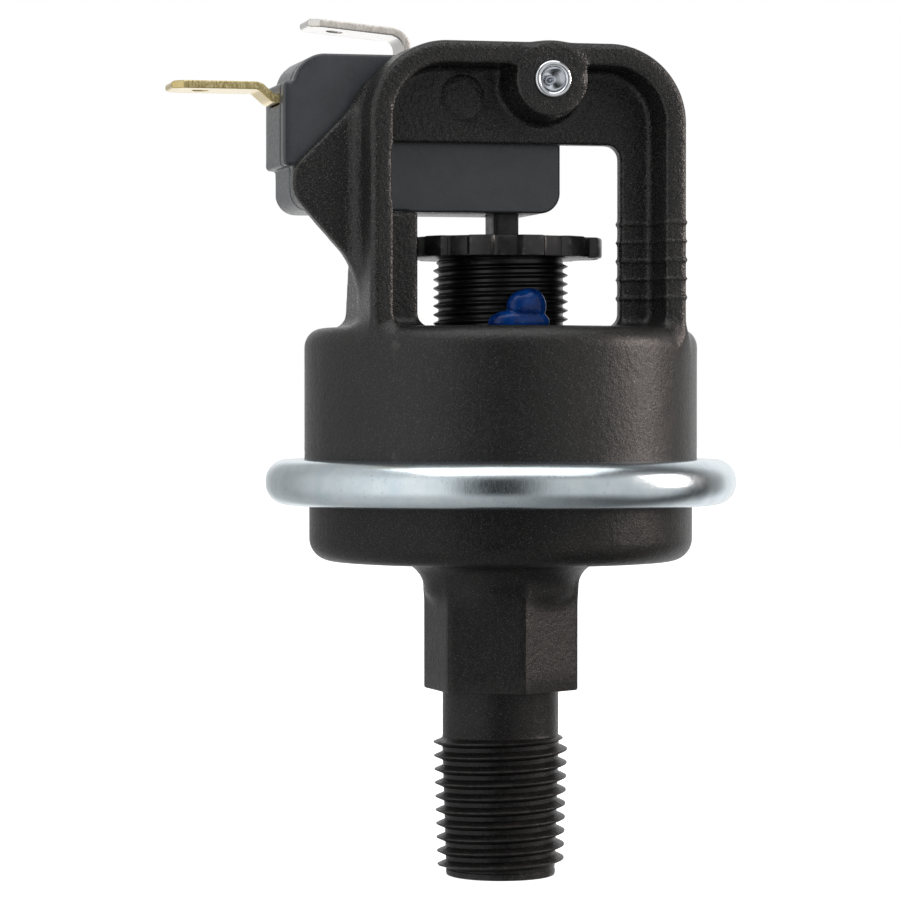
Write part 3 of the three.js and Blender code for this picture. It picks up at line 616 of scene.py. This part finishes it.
def lower_housing():
    segments = 144
    first = HEX_TURN + math.pi / 6
    skin = Skin(first + np.arange(segments) * 2 * math.pi / segments)
    hexagon = hex_radius(skin.angles)
    thread_root = PIPE_CREST - PIPE_DEPTH
    skin.outline(
        (PORT_BORE, 0.3),
        (PORT_BORE + 0.3, 0),
        (LEAD_RADIUS - 0.3, 0),
        (LEAD_RADIUS - 0.08, 0.08),
        (LEAD_RADIUS, 0.3),
        (LEAD_RADIUS, LEAD_TOP - 0.1),
        (thread_root, LEAD_TOP),
    )
    turned, shifts = thread_rows(
        skin.angles - first,
        LEAD_TOP,
        THREAD_TOP,
        PIPE_PITCH,
        lambda z: thread_root + (z - LEAD_TOP) * PIPE_TAPER,
        PIPE_DEPTH,
        THREAD_LIFT,
        THREAD_FADE_TURNS,
    )
    # The thread's rows are made from angle zero and turned to where the other rows start.
    cosine, sine = math.cos(first), math.sin(first)
    turn = np.array([[cosine, -sine, 0], [sine, cosine, 0], [0, 0, 1]])
    skin.thread([row @ turn.T for row in turned], shifts)
    skin.outline(
        (thread_root + (THREAD_TOP - LEAD_TOP) * PIPE_TAPER, THREAD_TOP),
        (NECK_RADIUS - 0.02, NECK_BOTTOM - 0.05),
        (NECK_RADIUS, NECK_BOTTOM + 0.1),
        (NECK_RADIUS, HEX_BOTTOM - 0.25),
        (NECK_RADIUS + 0.07, HEX_BOTTOM - 0.07),
        (NECK_RADIUS + 0.25, HEX_BOTTOM),
        (hexagon - 0.2, HEX_BOTTOM),
        (hexagon - 0.06, HEX_BOTTOM + 0.05),
        (hexagon, HEX_BOTTOM + 0.2),
    )
    # A smooth maximum of the two lets the hex's flats run out into the flare.
    for z in np.linspace(HEX_BOTTOM + 2, SHELL_BOTTOM - 0.12, 26):
        blended = FLARE_BLEND * np.logaddexp(hexagon / FLARE_BLEND, flare_radius(z) / FLARE_BLEND)
        skin.outline((blended, z))
    under_ring = RING_LOW.z + RING_WALL + RING_GAP
    skin.outline(
        (12.2, SHELL_BOTTOM),
        (14.5, SHELL_BOTTOM),
        *arc(LOWER_RADIUS - LOWER_EDGE, SHELL_BOTTOM + LOWER_EDGE, LOWER_EDGE, -90, 0, 10),
        (LOWER_RADIUS, under_ring),
        (FLANGE_RADIUS, under_ring),
        (FLANGE_RADIUS, FLANGE_LOW_TOP),
        (CHAMBER_RADIUS, FLANGE_LOW_TOP),
        (CHAMBER_RADIUS, CHAMBER_FLOOR + 1),
        (CHAMBER_RADIUS - 1, CHAMBER_FLOOR),
        (PORT_BORE + 0.4, CHAMBER_FLOOR),
        (PORT_BORE, CHAMBER_FLOOR - 0.4),
    )
    mesh = skin.mesh("lower_housing_body")
    place(mesh, LOWER_HOUSING, "housing", "lower_housing")


# ---------- upper housing: shell, arch, web, boss, wing and ribs ----------
def arch_field(x, y, z):
    # The outside narrows a little towards the front, as a moulding does.
    draft = np.maximum(WEB_FRONT - y, 0) * ARCH_DRAFT
    outline = rounded_rectangle(x, z, -ARCH_HALF, ARCH_HALF, ARCH_ROOT, ARCH_TOP, ARCH_CORNER) + draft
    field = meet_round(outline, slab(y, ARCH_FRONT, WEB_BACK), 0.75)
    half, top, corner = ARCH_HALF - ARCH_WALL, ARCH_TOP - ARCH_WALL, ARCH_CORNER - ARCH_WALL
    opening = rounded_rectangle(x, z, -half, half, RECESS_ROOT, top, corner)
    field = cut_round(field, meet_round(opening, y - WEB_FRONT, 0.9), 0.4)
    # The window under the switch, and a wider one that the switch's left part lies across.
    window = np.minimum(
        rounded_rectangle(x, z, -10.4, 10.9, WINDOW_ROOT, WINDOW_TOP, 1.4),
        rounded_rectangle(x, z, -14.2, 5.0, 68.3, WINDOW_TOP, 1.6),
    )
    return cut_round(field, window, 0.45)


def side_wall_field(x, y, z):
    """Walls that carry the arch back to just under the switch, deeper towards the shell."""
    back = SIDE_BACK + np.clip(SIDE_TOP - z, 0, SIDE_SLOPE_HEIGHT) * SIDE_SLOPE
    wall = meet_round(slab(y, WEB_FRONT, back), z - SIDE_TOP, 0.6)
    return meet_round(wall, slab(np.abs(x), ARCH_HALF - ARCH_WALL, ARCH_HALF - SIDE_INSET), 0.3)


def wing_field(x, y, z):
    """The lug on the left, whose round tip lies over the switch's second hole."""
    tip, upper, lower = (PEG_X, PEG_Z), (WING_ROOT_X, WING_HIGH_Z), (WING_ROOT_X, WING_LOW_Z)
    skeleton = np.minimum(segment_distance(x, z, tip, upper), segment_distance(x, z, tip, lower))
    sides = ((upper, tip), (tip, lower), (lower, upper))
    inside = np.maximum.reduce([line_side(x, z, start, end) for start, end in sides])
    outline = np.where(inside < 0, -skeleton, skeleton) - WING_RADIUS
    outline = np.maximum(outline, x + ARCH_HALF + 0.05)
    return meet_round(outline, slab(y, WEB_FRONT, WEB_BACK), 0.35)


def frame_field(x, y, z, rho):
    """Arch, wing and side walls. The arch's front corners stand a little outside the shell, and
    taper into it."""
    frame = union_round(arch_field(x, y, z), wing_field(x, y, z), 1.9)
    frame = np.minimum(frame, side_wall_field(x, y, z))
    foot = rho - (UPPER_RADIUS - FOOT_SUNK) - np.maximum(z - ARCH_FOOT, 0) * FOOT_SLOPE
    return np.maximum(np.maximum(frame, foot), ARCH_FOOT - z)


def add_grip_ribs(field, x, z):
    """Low ribs round the right leg."""
    middle = (z - RIB_LOWEST + RIB_SPACING / 2) % RIB_SPACING - RIB_SPACING / 2
    highest = RIB_LOWEST + RIB_SPACING * (RIB_COUNT - 1)
    ribs = np.maximum(np.abs(middle) - RIB_WIDTH / 2, slab(z, RIB_LOWEST - RIB_REACH, highest + RIB_REACH))
    ribs = np.maximum(ribs, RIB_LEFT - x)
    return np.minimum(field, meet_round(field - RIB_PROUD, ribs, 0.1))


def hollow_out(field, rho, z):
    """The capsule's cavity, round the boss that holds the screw, and the bore through that boss."""
    cavity = meet_round(rho - CAVITY_RADIUS, z - (ROOF - ROOF_THICKNESS), 1.0)
    boss = np.maximum(rho - BORE_BOSS, BORE_BOSS_BOTTOM - z)
    field = np.maximum(field, -np.maximum(cavity, -boss))
    bore = np.maximum(rho - SCREW_BORE, z - (ROOF + 3))
    return cut_round(field, bore, 0.25)


def upper_housing():
    cell = 0.2
    low = (-24.6, -22.8, UPPER_LOW.z - 0.6)
    high = (22.9, 22.9, ARCH_TOP + 0.9)
    x, y, z = grid(low, high, cell)
    rho = np.hypot(x, y)
    shell = meet_round(rho - UPPER_RADIUS, z - ROOF, UPPER_EDGE)
    shell = np.maximum(shell, UPPER_LOW.z - z)
    field = union_round(shell, frame_field(x, y, z, rho), 1.4)
    from_rivet = np.hypot(x - RIVET_X, z - RIVET_Z)
    boss = meet_round(from_rivet - BOSS_RADIUS - (y - ARCH_FRONT) * BOSS_DRAFT, ARCH_FRONT - y, 0.22)
    field = union_round(field, np.maximum(boss, y - WEB_BACK), 0.7)
    field = add_grip_ribs(field, x, z)
    circle = np.abs(np.hypot(x - MARK_X, z - MARK_Z) - MARK_RADIUS) - MARK_WIDTH / 2
    field = np.maximum(field, -np.maximum(circle, y - (WEB_FRONT + MARK_DEPTH)))
    field = cut_round(field, from_rivet - HOLE_RADIUS, 0.15)
    field = hollow_out(field, rho, z)
    flange = np.maximum(rho - FLANGE_RADIUS, slab(z, UPPER_LOW.z, RING_HIGH.z - RING_WALL - RING_GAP))
    field = np.minimum(field, np.maximum(flange, CAVITY_RADIUS - rho))
    mesh = field_mesh("upper_housing_body", field, low, cell, adaptivity=0.01)
    place(mesh, HOUSING, "housing", "upper_housing")


# ---------- crimp ring ----------
def crimp_ring():
    outer = RING_HIGH.x
    middle = outer - RING_EDGE
    low, high = RING_LOW.z, RING_HIGH.z
    inner = RING_EDGE - RING_WALL
    profile = [
        (LIP_LOW, low + 0.2),
        (LIP_LOW + 0.2, low),
        *arc(middle, low + RING_EDGE, RING_EDGE, -90, 0, 14),
        *arc(middle, high - RING_EDGE, RING_EDGE, 0, 78, 14),
        (21.75, high - 0.02),
        (21.3, high),
        (LIP_HIGH + 0.25, high),
        (LIP_HIGH, high - 0.25),
        (LIP_HIGH, high - RING_WALL),
        *arc(middle, high - RING_EDGE, inner, 90, 0, 5),
        *arc(middle, low + RING_EDGE, inner, 0, -90, 5),
        (LIP_LOW, low + RING_WALL),
    ]
    mesh = turned_mesh("crimp_ring_band", profile, 256, sharp=50)
    # Shallow hammer-like unevenness left by the rolling tool.
    for vertex in mesh.vertices:
        angle = math.atan2(vertex.co.y, vertex.co.x)
        wave = math.sin(angle * 7 + 0.6) + 0.6 * math.sin(angle * 17 + 2.0) + 0.35 * math.sin(angle * 41)
        swell = 1 - RING_DENT * (1 + wave / 2)
        if math.hypot(vertex.co.x, vertex.co.y) > DENTED_FROM * MM:
            vertex.co.x *= swell
            vertex.co.y *= swell
    place(mesh, ZINC, "housing", "crimp_ring")


# ---------- adjusting screw ----------
def wheel_rim(angles):
    """The wheel's radius. Angles run from -Y towards +X, and the wheel's phase is given from +X."""
    lobe = 2 * math.pi / WHEEL_LOBES
    from_lobe = np.abs((angles - math.pi / 2 - WHEEL_TURN + lobe / 2) % lobe - lobe / 2)
    step = np.clip((from_lobe - LOBE_HALF) / LOBE_FLANK, 0, 1)
    outer = SCREW_HIGH.x + 0.01
    return outer - (outer - WHEEL_NOTCH) * step * step * (3 - 2 * step)


def adjusting_screw():
    segments = 240
    skin = Skin(np.arange(segments) * 2 * math.pi / segments)
    rim = wheel_rim(skin.angles)
    root = SCREW_MAJOR - SCREW_DEPTH
    bottom, top = SCREW_LOW.z, SCREW_HIGH.z
    skin.outline((SCREW_HOLLOW, bottom), (root - 0.3, bottom), (root, bottom + 0.3))
    skin.thread(
        *thread_rows(
            skin.angles,
            bottom + 0.4,
            WHEEL_BOTTOM - 0.15,
            SCREW_PITCH,
            lambda z: root + 0 * z,
            SCREW_DEPTH,
        )
    )
    skin.outline(
        (root, WHEEL_BOTTOM - 0.1),
        (root + 0.15, WHEEL_BOTTOM),
        (rim - 0.25, WHEEL_BOTTOM),
        (rim - 0.07, WHEEL_BOTTOM + 0.06),
        (rim, WHEEL_BOTTOM + 0.25),
        (rim, top - 0.25),
        (rim - 0.07, top - 0.06),
        (rim - 0.25, top),
        (WHEEL_HOLE + 0.2, top),
        (WHEEL_HOLE, top - 0.2),
        (WHEEL_HOLE, SCREW_CEILING),
        (SCREW_HOLLOW, SCREW_CEILING),
    )
    mesh = skin.mesh("adjusting_wheel_screw")
    place(mesh, SCREW, "adjuster", "adjusting_screw")


# ---------- tamper lacquer ----------
def tamper_lacquer():
    cell = 0.05
    low, high = (-4.0, -9.6, ROOF - 0.3), (4.4, -6.0, 61.4)
    x, y, z = grid(low, high, cell)
    rho = np.hypot(x, y)

    def drop(turn, height, across, out, tall):
        """An ellipsoid on the thread, turned in degrees from the front, with three half sizes."""
        angle = math.radians(turn)
        from_axis = SCREW_MAJOR + 0.32
        centre_x, centre_y = from_axis * math.sin(angle), -from_axis * math.cos(angle)
        u = (x - centre_x) * math.cos(angle) + (y - centre_y) * math.sin(angle)
        v = -(x - centre_x) * math.sin(angle) + (y - centre_y) * math.cos(angle)
        scaled = np.sqrt((u / across) ** 2 + (v / out) ** 2 + ((z - height) / tall) ** 2)
        return (scaled - 1) * min(across, out, tall)

    lower = union_round(drop(-9, 57.15, 1.95, 1.1, 1.15), drop(6, 57.3, 2.6, 1.15, 1.3), 0.5)
    upper = union_round(drop(5, 58.75, 1.9, 1.15, 1.75), drop(12, 58.9, 1.5, 1.0, 1.7), 0.4)
    field = union_round(lower, upper, 0.12)
    field = np.maximum(np.maximum(field, SCREW_MAJOR + 0.02 - rho), ROOF + 0.01 - z)
    mesh = field_mesh("tamper_lacquer_drops", field, low, cell)
    place(mesh, LACQUER, "housing", "tamper_lacquer")


# ---------- snap-action switch ----------
def pocket_field(x, y, z, left, back):
    """The inside of the switch's back half, open towards the cover, with walls round its holes."""
    low, high = CASE_LOW.z + SWITCH_WALL, CASE_HIGH.z - SWITCH_WALL
    inside = rounded_rectangle(x, z, left + SWITCH_WALL, CASE_HIGH.x - SWITCH_WALL, low, high, 0.7)
    pocket = np.maximum(inside, y - (back - SWITCH_WALL))
    for hole_x, hole_z in SWITCH_HOLES:
        pocket = np.maximum(pocket, 2.5 - np.hypot(x - hole_x, z - hole_z))
    return pocket


def cut_slots(field, x, y, z, left):
    """Slots through the back half's walls for the button, the top tab and the left tab."""
    through = SWITCH_WALL + 0.1
    button_half, button_depth = BUTTON_HALF_X + 0.15, BUTTON_HALF_Y + 0.15
    tab_half, tab_depth = TAB_THICKNESS / 2 + 0.1, TAB_NECK + 0.1
    slots = (
        (BUTTON_X - button_half, BUTTON_X + button_half, button_depth, CASE_LOW.z - 1, CASE_LOW.z + through),
        (COMMON_X - tab_half, COMMON_X + tab_half, tab_depth, CASE_HIGH.z - through, CASE_HIGH.z + 1),
        (CASE_LOW.x - 1, left + through, tab_depth, OPEN_Z - tab_half, OPEN_Z + tab_half),
    )
    for x0, x1, half, z0, z1 in slots:
        slot = np.maximum(slab(x, x0, x1), np.abs(y) - half)
        field = np.maximum(field, -np.maximum(slot, slab(z, z0, z1)))
    return field


def switch_half(name, node, front, back, hollow):
    cell = 0.12
    low = (CASE_LOW.x - 0.5, front - 0.5, CASE_LOW.z - 0.5)
    high = (CASE_HIGH.x + 0.5, back + 0.5, CASE_HIGH.z + 0.5)
    x, y, z = grid(low, high, cell)
    left = CASE_LOW.x + 1.0
    body = rounded_rectangle(x, z, left, CASE_HIGH.x, CASE_LOW.z, CASE_HIGH.z, SWITCH_CORNER)
    bump = rounded_rectangle(x, z, CASE_LOW.x, left + 4, 72.9, 81.5, 0.5)
    # The top left corner is softer than the rest.
    softer = rounded_rectangle(
        x, z, left, CASE_HIGH.x + 9, CASE_LOW.z - 9, CASE_HIGH.z, SWITCH_SOFT_CORNER
    )
    outline = union_round(np.maximum(body, softer), bump, 0.3)
    field = meet_round(outline, slab(y, front, back), 0.28)
    outside = back if hollow else front
    for hole_x, hole_z in SWITCH_HOLES:
        from_hole = np.hypot(x - hole_x, z - hole_z)
        field = cut_round(field, from_hole - HOLE_RADIUS, 0.18)
        # A shallow spot face round the hole, on the half's outside.
        spot = np.where(np.abs(y - outside) < HOLE_SPOT_DEPTH, from_hole - HOLE_SPOT, 1.0)
        field = np.maximum(field, -spot)
    if hollow:
        field = np.maximum(field, -pocket_field(x, y, z, left, back))
        field = cut_slots(field, x, y, z, left)
    mesh = field_mesh(name, field, low, cell, adaptivity=0.02)
    place(mesh, SWITCH, "housing", node)


def switch_button():
    cell = 0.08
    low = (BUTTON_LOW.x - 0.3, BUTTON_LOW.y - 0.3, BUTTON_LOW.z - 0.3)
    high = (BUTTON_HIGH.x + 0.3, BUTTON_HIGH.y + 0.3, BUTTON_HIGH.z + 0.3)
    x, y, z = grid(low, high, cell)
    stem = rounded_rectangle(
        x, y, BUTTON_X - BUTTON_HALF_X, BUTTON_X + BUTTON_HALF_X, -BUTTON_HALF_Y, BUTTON_HALF_Y, 0.35
    )
    field = meet_round(stem, slab(z, BUTTON_LOW.z, BUTTON_HIGH.z), 0.3)
    collar = rounded_rectangle(x, y, BUTTON_LOW.x, BUTTON_HIGH.x, BUTTON_LOW.y, BUTTON_HIGH.y, 0.3)
    field = np.minimum(field, meet_round(collar, slab(z, 70.2, 71.4), 0.15))
    mesh = field_mesh("plunger_button", field, low, cell, adaptivity=0.02)
    place(mesh, SCREW, "button", "switch_button")


def switch_rivet():
    """A tubular rivet: a rolled flare with a cone in it at the front, and a flat head behind."""
    front, back = RIVET_LOW.y, RIVET_HIGH.y
    boss_face = ARCH_FRONT - 0.03
    head_front = -COVER_LOW.y + 0.05
    profile = [
        (0.2, front + 1.75),
        (0.55, front + 1.3),
        (1.0, front + 0.8),
        (1.28, front + 0.42),
        *arc(1.6, front + 0.3, 0.3, 180, 360, 8),
        (1.9, boss_face),
        (1.5, boss_face),
        (1.5, head_front),
        (2.5, head_front),
        (2.7, head_front + 0.15),
        (2.65, head_front + 0.35),
        (2.3, back - 0.12),
        (1.9, back),
        (0.5, back),
        (0.3, back - 0.15),
        (0.2, back - 0.4),
    ]
    mesh = turned_mesh("tubular_rivet", profile, 96, axis_y=(RIVET_X, RIVET_Z))
    place(mesh, RIVET_STEEL, "housing", "switch_rivet")


def tab_width(x, tip_x, shoulder_x):
    """Half the strip's width at x: full outside, narrower through the case, chamfered at the tip."""
    chamfered = TAB_HALF - np.maximum(tip_x + TAB_CHAMFER - x, 0)
    return np.where(x > shoulder_x, TAB_NECK, chamfered)


def tab_field(x, y, z, path, tip_x, shoulder_x, hole_x, hole_z):
    """A strip bent along a path in X and Z, cut off at its tip, with a hole near the tip."""
    lengths = [segment_distance(x, z, start, end) for start, end in zip(path, path[1:])]
    strip = np.minimum.reduce(lengths) - TAB_THICKNESS / 2
    # The tip's edges are coined round.
    strip = meet_round(strip, tip_x - x, 0.35)
    field = meet_round(strip, np.abs(y) - tab_width(x, tip_x, shoulder_x), 0.1)
    hole = np.maximum(np.hypot(x - hole_x, y) - TAB_HOLE, np.abs(z - hole_z) - 2.5)
    return cut_round(field, hole, 0.12)


def open_terminal():
    cell = 0.08
    low = (OPEN_LOW.x - 0.4, OPEN_LOW.y - 0.4, OPEN_LOW.z - 0.4)
    high = (OPEN_HIGH.x + 0.4, OPEN_HIGH.y + 0.4, OPEN_HIGH.z + 0.4)
    x, y, z = grid(low, high, cell)
    tab_z = OPEN_HIGH.z - TAB_THICKNESS / 2
    path = [
        (OPEN_HIGH.x - 0.4, OPEN_Z),
        (-24.1, OPEN_Z),
        (-24.4, OPEN_Z + 0.12),
        (-25.6, tab_z - 0.12),
        (-25.9, tab_z),
        (OPEN_LOW.x - 1, tab_z),
    ]
    field = tab_field(x, y, z, path, OPEN_LOW.x + 0.35, -26.0, OPEN_LOW.x + 3.6, tab_z)
    mesh = field_mesh("brass_tab", field, low, cell, adaptivity=0.02)
    place(mesh, BRASS, "housing", "normally_open_terminal")


def common_terminal():
    cell = 0.08
    low = (COMMON_LOW.x - 0.4, COMMON_LOW.y - 0.4, COMMON_LOW.z - 0.4)
    high = (COMMON_HIGH.x + 0.4, COMMON_HIGH.y + 0.4, COMMON_HIGH.z + 0.4)
    x, y, z = grid(low, high, cell)
    arm_x, arm_z, tip_z, bend = 3.0, 77.7, 87.75, 1.6
    path = [
        (arm_x, 76.35),
        (arm_x, arm_z),
        (COMMON_X, arm_z),
        *arc(COMMON_X - bend, 85.27, bend, 0, 94, 8),
        (COMMON_LOW.x - 1, tip_z + 0.07),
    ]
    field = tab_field(x, y, z, path, COMMON_LOW.x + 0.6, COMMON_X - 1.4, COMMON_LOW.x + 3.8, tip_z)
    # Inside the case the strip is narrower still.
    field = np.where(z < CASE_HIGH.z - 2.4, np.maximum(field, np.abs(y) - 1.9), field)
    mesh = field_mesh("silver_tab", field, low, cell, adaptivity=0.02)
    place(mesh, TINNED, "housing", "common_terminal")


# ---------- range spring ----------
def spring_length(name, sections):
    """One length of the coil, capped at both ends."""
    centres = sections[[0, -1]].mean(axis=1, keepdims=True)
    caps = np.broadcast_to(centres, (2, *sections.shape[1:]))
    mesh = rings_mesh(name, np.concatenate([caps[:1], sections, caps[1:]]), closed=False)
    piece = new_piece(mesh, STEEL, "range_spring")
    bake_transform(piece)


def range_spring():
    """A right-handed coil with closed and ground ends, in two lengths that meet halfway up."""
    bottom, top = SPRING_LOW.z, SPRING_HIGH.z
    turn = np.linspace(0, SPRING_TURNS, SPRING_TURNS * 48 + 1)
    # The coils open over 0.6 of a turn, 0.7 of a turn from each end.
    opening = np.clip((np.minimum(turn, SPRING_TURNS - turn) - 0.7) / 0.6, 0, 1)
    rise = np.concatenate([[0], np.cumsum((opening[1:] + opening[:-1]) / 2)])
    closed = SPRING_CLOSED_PITCH * turn
    height = top - bottom - 2 * SPRING_GROUND
    z = bottom + SPRING_GROUND + closed + rise / rise[-1] * (height - closed[-1])
    angle = 2 * math.pi * turn
    climb = np.arctan2(np.gradient(z), SPRING_COIL * np.gradient(angle))
    across = np.radians(np.arange(0, 360, 30))
    out = SPRING_COIL + SPRING_WIRE * np.cos(across)[None, :]
    up = SPRING_WIRE * np.sin(across)[None, :]
    lean = -np.sin(climb)[:, None] * up
    cosine, sine = np.cos(angle)[:, None], np.sin(angle)[:, None]
    wire_z = np.clip(z[:, None] + np.cos(climb)[:, None] * up, bottom, top)
    sections = np.stack([out * cosine - lean * sine, out * sine + lean * cosine, wire_z], axis=-1)
    half, middle = len(turn) // 2, (bottom + top) / 2
    spring_length("range_spring_foot", sections[: half + 1])
    spring_length("range_spring_head", sections[half:])


# ---------- make the pieces ----------
lower_housing()
upper_housing()
crimp_ring()
adjusting_screw()
tamper_lacquer()
switch_half("switch_back_half", "switch_case", CASE_LOW.y, CASE_HIGH.y, hollow=True)
switch_half("switch_front_half", "switch_cover", COVER_LOW.y, COVER_HIGH.y, hollow=False)
switch_button()
switch_rivet()
open_terminal()
common_terminal()
range_spring()

# The parts inside keep their CAD shapes and take a finish of their own.
for node, look in {
    "diaphragm": RUBBER,
    "piston": SCREW,
    "spring_seat": STEEL,
    "snap_blade": COPPER,
    "snap_spring": COPPER,
    "moving_contact": SILVER,
    "fixed_contact": SILVER,
    "rest_stop": STEEL,
}.items():
    mesh = frame["nodes"][node].data
    mesh.materials.clear()
    mesh.materials.append(look)


# ---------- studio ----------
def soft_light(name, location, target, size, power, colour=(1, 1, 1)):
    data = bpy.data.lights.new(name, "AREA")
    data.shape = "RECTANGLE"
    data.size, data.size_y = size
    data.energy = power
    data.color = colour
    lamp = bpy.data.objects.new(name, data)
    scene.collection.objects.link(lamp)
    lamp.location = location
    lamp.rotation_euler = (Vector(target) - Vector(location)).to_track_quat("-Z", "Y").to_euler()
    lamp.visible_camera = False


# How bright the tent is, by degrees round from the front, to the right.
TENT = (
    (-180, 0.8),
    (-170, 0.5),
    (-142, 0.36),
    (-119, 0.55),
    (-68, 0.95),
    (-43, 0.9),
    (-35, 0.6),
    (-28, 0.15),
    (-20, 0.03),
    (-8, 0.03),
    (2, 0.2),
    (10, 0.58),
    (37, 0.6),
    (55, 0.55),
    (66, 0.6),
    (80, 0.6),
    (88, 0.3),
    (98, 0.04),
    (106, 0.04),
    (119, 0.4),
    (133, 1.0),
)

# How bright it is straight above, at the left and at the right.
CEILING_LEFT, CEILING_RIGHT = 0.55, 0.1


def studio():
    """A white tent round the object, open at the camera and dimmer behind, under a grey ceiling that is
    brighter on the left, with one bright strip on the right and a soft box above."""
    world = bpy.data.worlds.new("studio")
    scene.world = world
    world.use_nodes = True
    nodes, links = world.node_tree.nodes, world.node_tree.links

    def node(kind, inputs=(), **settings):
        made = nodes.new(kind)
        for name, value in settings.items():
            setattr(made, name, value)
        for socket, value in inputs:
            if isinstance(value, (float, int)):
                made.inputs[socket].default_value = value
            else:
                links.new(value, made.inputs[socket])
        return made

    coordinates = node("ShaderNodeTexCoord")
    direction = node("ShaderNodeSeparateXYZ", [("Vector", coordinates.outputs["Generated"])])
    toward_front = node("ShaderNodeMath", [(0, direction.outputs["Y"]), (1, -1.0)], operation="MULTIPLY")
    turn = node(
        "ShaderNodeMath",
        [(0, direction.outputs["X"]), (1, toward_front.outputs[0])],
        operation="ARCTAN2",
    )
    around = node(
        "ShaderNodeMapRange",
        [("Value", turn.outputs[0]), ("From Min", -math.pi), ("From Max", math.pi)],
    )
    ramp = node("ShaderNodeValToRGB", [("Fac", around.outputs["Result"])])
    elements = ramp.color_ramp.elements
    while len(elements) < len(TENT):
        elements.new(0.5)
    for element, (degrees, level) in zip(elements, TENT):
        element.position = (degrees + 180) / 360
        element.color = (level, level, level, 1)
    steepness = node("ShaderNodeMath", [(0, direction.outputs["Z"])], operation="ABSOLUTE")
    overhead = node(
        "ShaderNodeMapRange",
        [("Value", steepness.outputs[0]), ("From Min", 0.35), ("From Max", 0.85)],
        interpolation_type="SMOOTHSTEP",
    )
    ceiling = node(
        "ShaderNodeMapRange",
        [
            ("Value", direction.outputs["X"]),
            ("From Min", -0.5),
            ("From Max", 0.5),
            ("To Min", CEILING_LEFT),
            ("To Max", CEILING_RIGHT),
        ],
    )
    blend = node(
        "ShaderNodeMix",
        [(0, overhead.outputs["Result"]), (2, ramp.outputs["Color"]), (3, ceiling.outputs["Result"])],
    )
    seen = node(
        "ShaderNodeMath",
        [(0, blend.outputs[0]), (1, node("ShaderNodeLightPath").outputs["Is Camera Ray"])],
        operation="MAXIMUM",
    )
    background = nodes["Background"]
    background.inputs["Color"].default_value = (1, 1, 1, 1)
    links.new(seen.outputs["Value"], background.inputs["Strength"])

    bpy.ops.mesh.primitive_plane_add(size=6, location=(0, 0, LOWER_LOW.z * MM))
    floor = bpy.context.object
    floor.name = "floor"
    paper = Look("floor_paper", Roughness=0.9, Specular_IOR_Level=0.0)
    paper.colour(paper.ramp(paper.noise(60, 2), [(0.3, (0.8, 0.8, 0.8)), (0.7, (0.85, 0.85, 0.85))]))
    paper.shader.inputs["Emission Color"].default_value = (1, 1, 1, 1)
    paper.shader.inputs["Emission Strength"].default_value = 0.96
    floor.data.materials.append(paper.material)
    floor.visible_diffuse = False
    floor.visible_glossy = False

    middle = (0, 0, 0.045)
    soft_light("right_strip", (0.465, -0.115, 0.165), middle, (0.11, 0.26), 1.25, (1.0, 0.86, 0.8))
    soft_light("top_box", (-0.02, -0.12, 0.5), middle, (0.6, 0.45), 1.2)


def camera():
    """Eye level with the middle of the object, from a little to the left of the front."""
    azimuth, distance, eye = math.radians(-14.2), 375 * MM, 49.5 * MM
    data = bpy.data.cameras.new("camera")
    data.lens, data.sensor_width = 144.6, 36.0
    data.clip_start = 0.01
    made = bpy.data.objects.new("camera", data)
    scene.collection.objects.link(made)
    made.location = (distance * math.sin(azimuth), -distance * math.cos(azimuth), eye)
    aim = Vector((-5.08, 1.29, 44.1)) * MM
    made.rotation_euler = (aim - made.location).to_track_quat("-Z", "Y").to_euler()
    scene.camera = made


studio()
camera()
scene.view_settings.view_transform = "Standard"
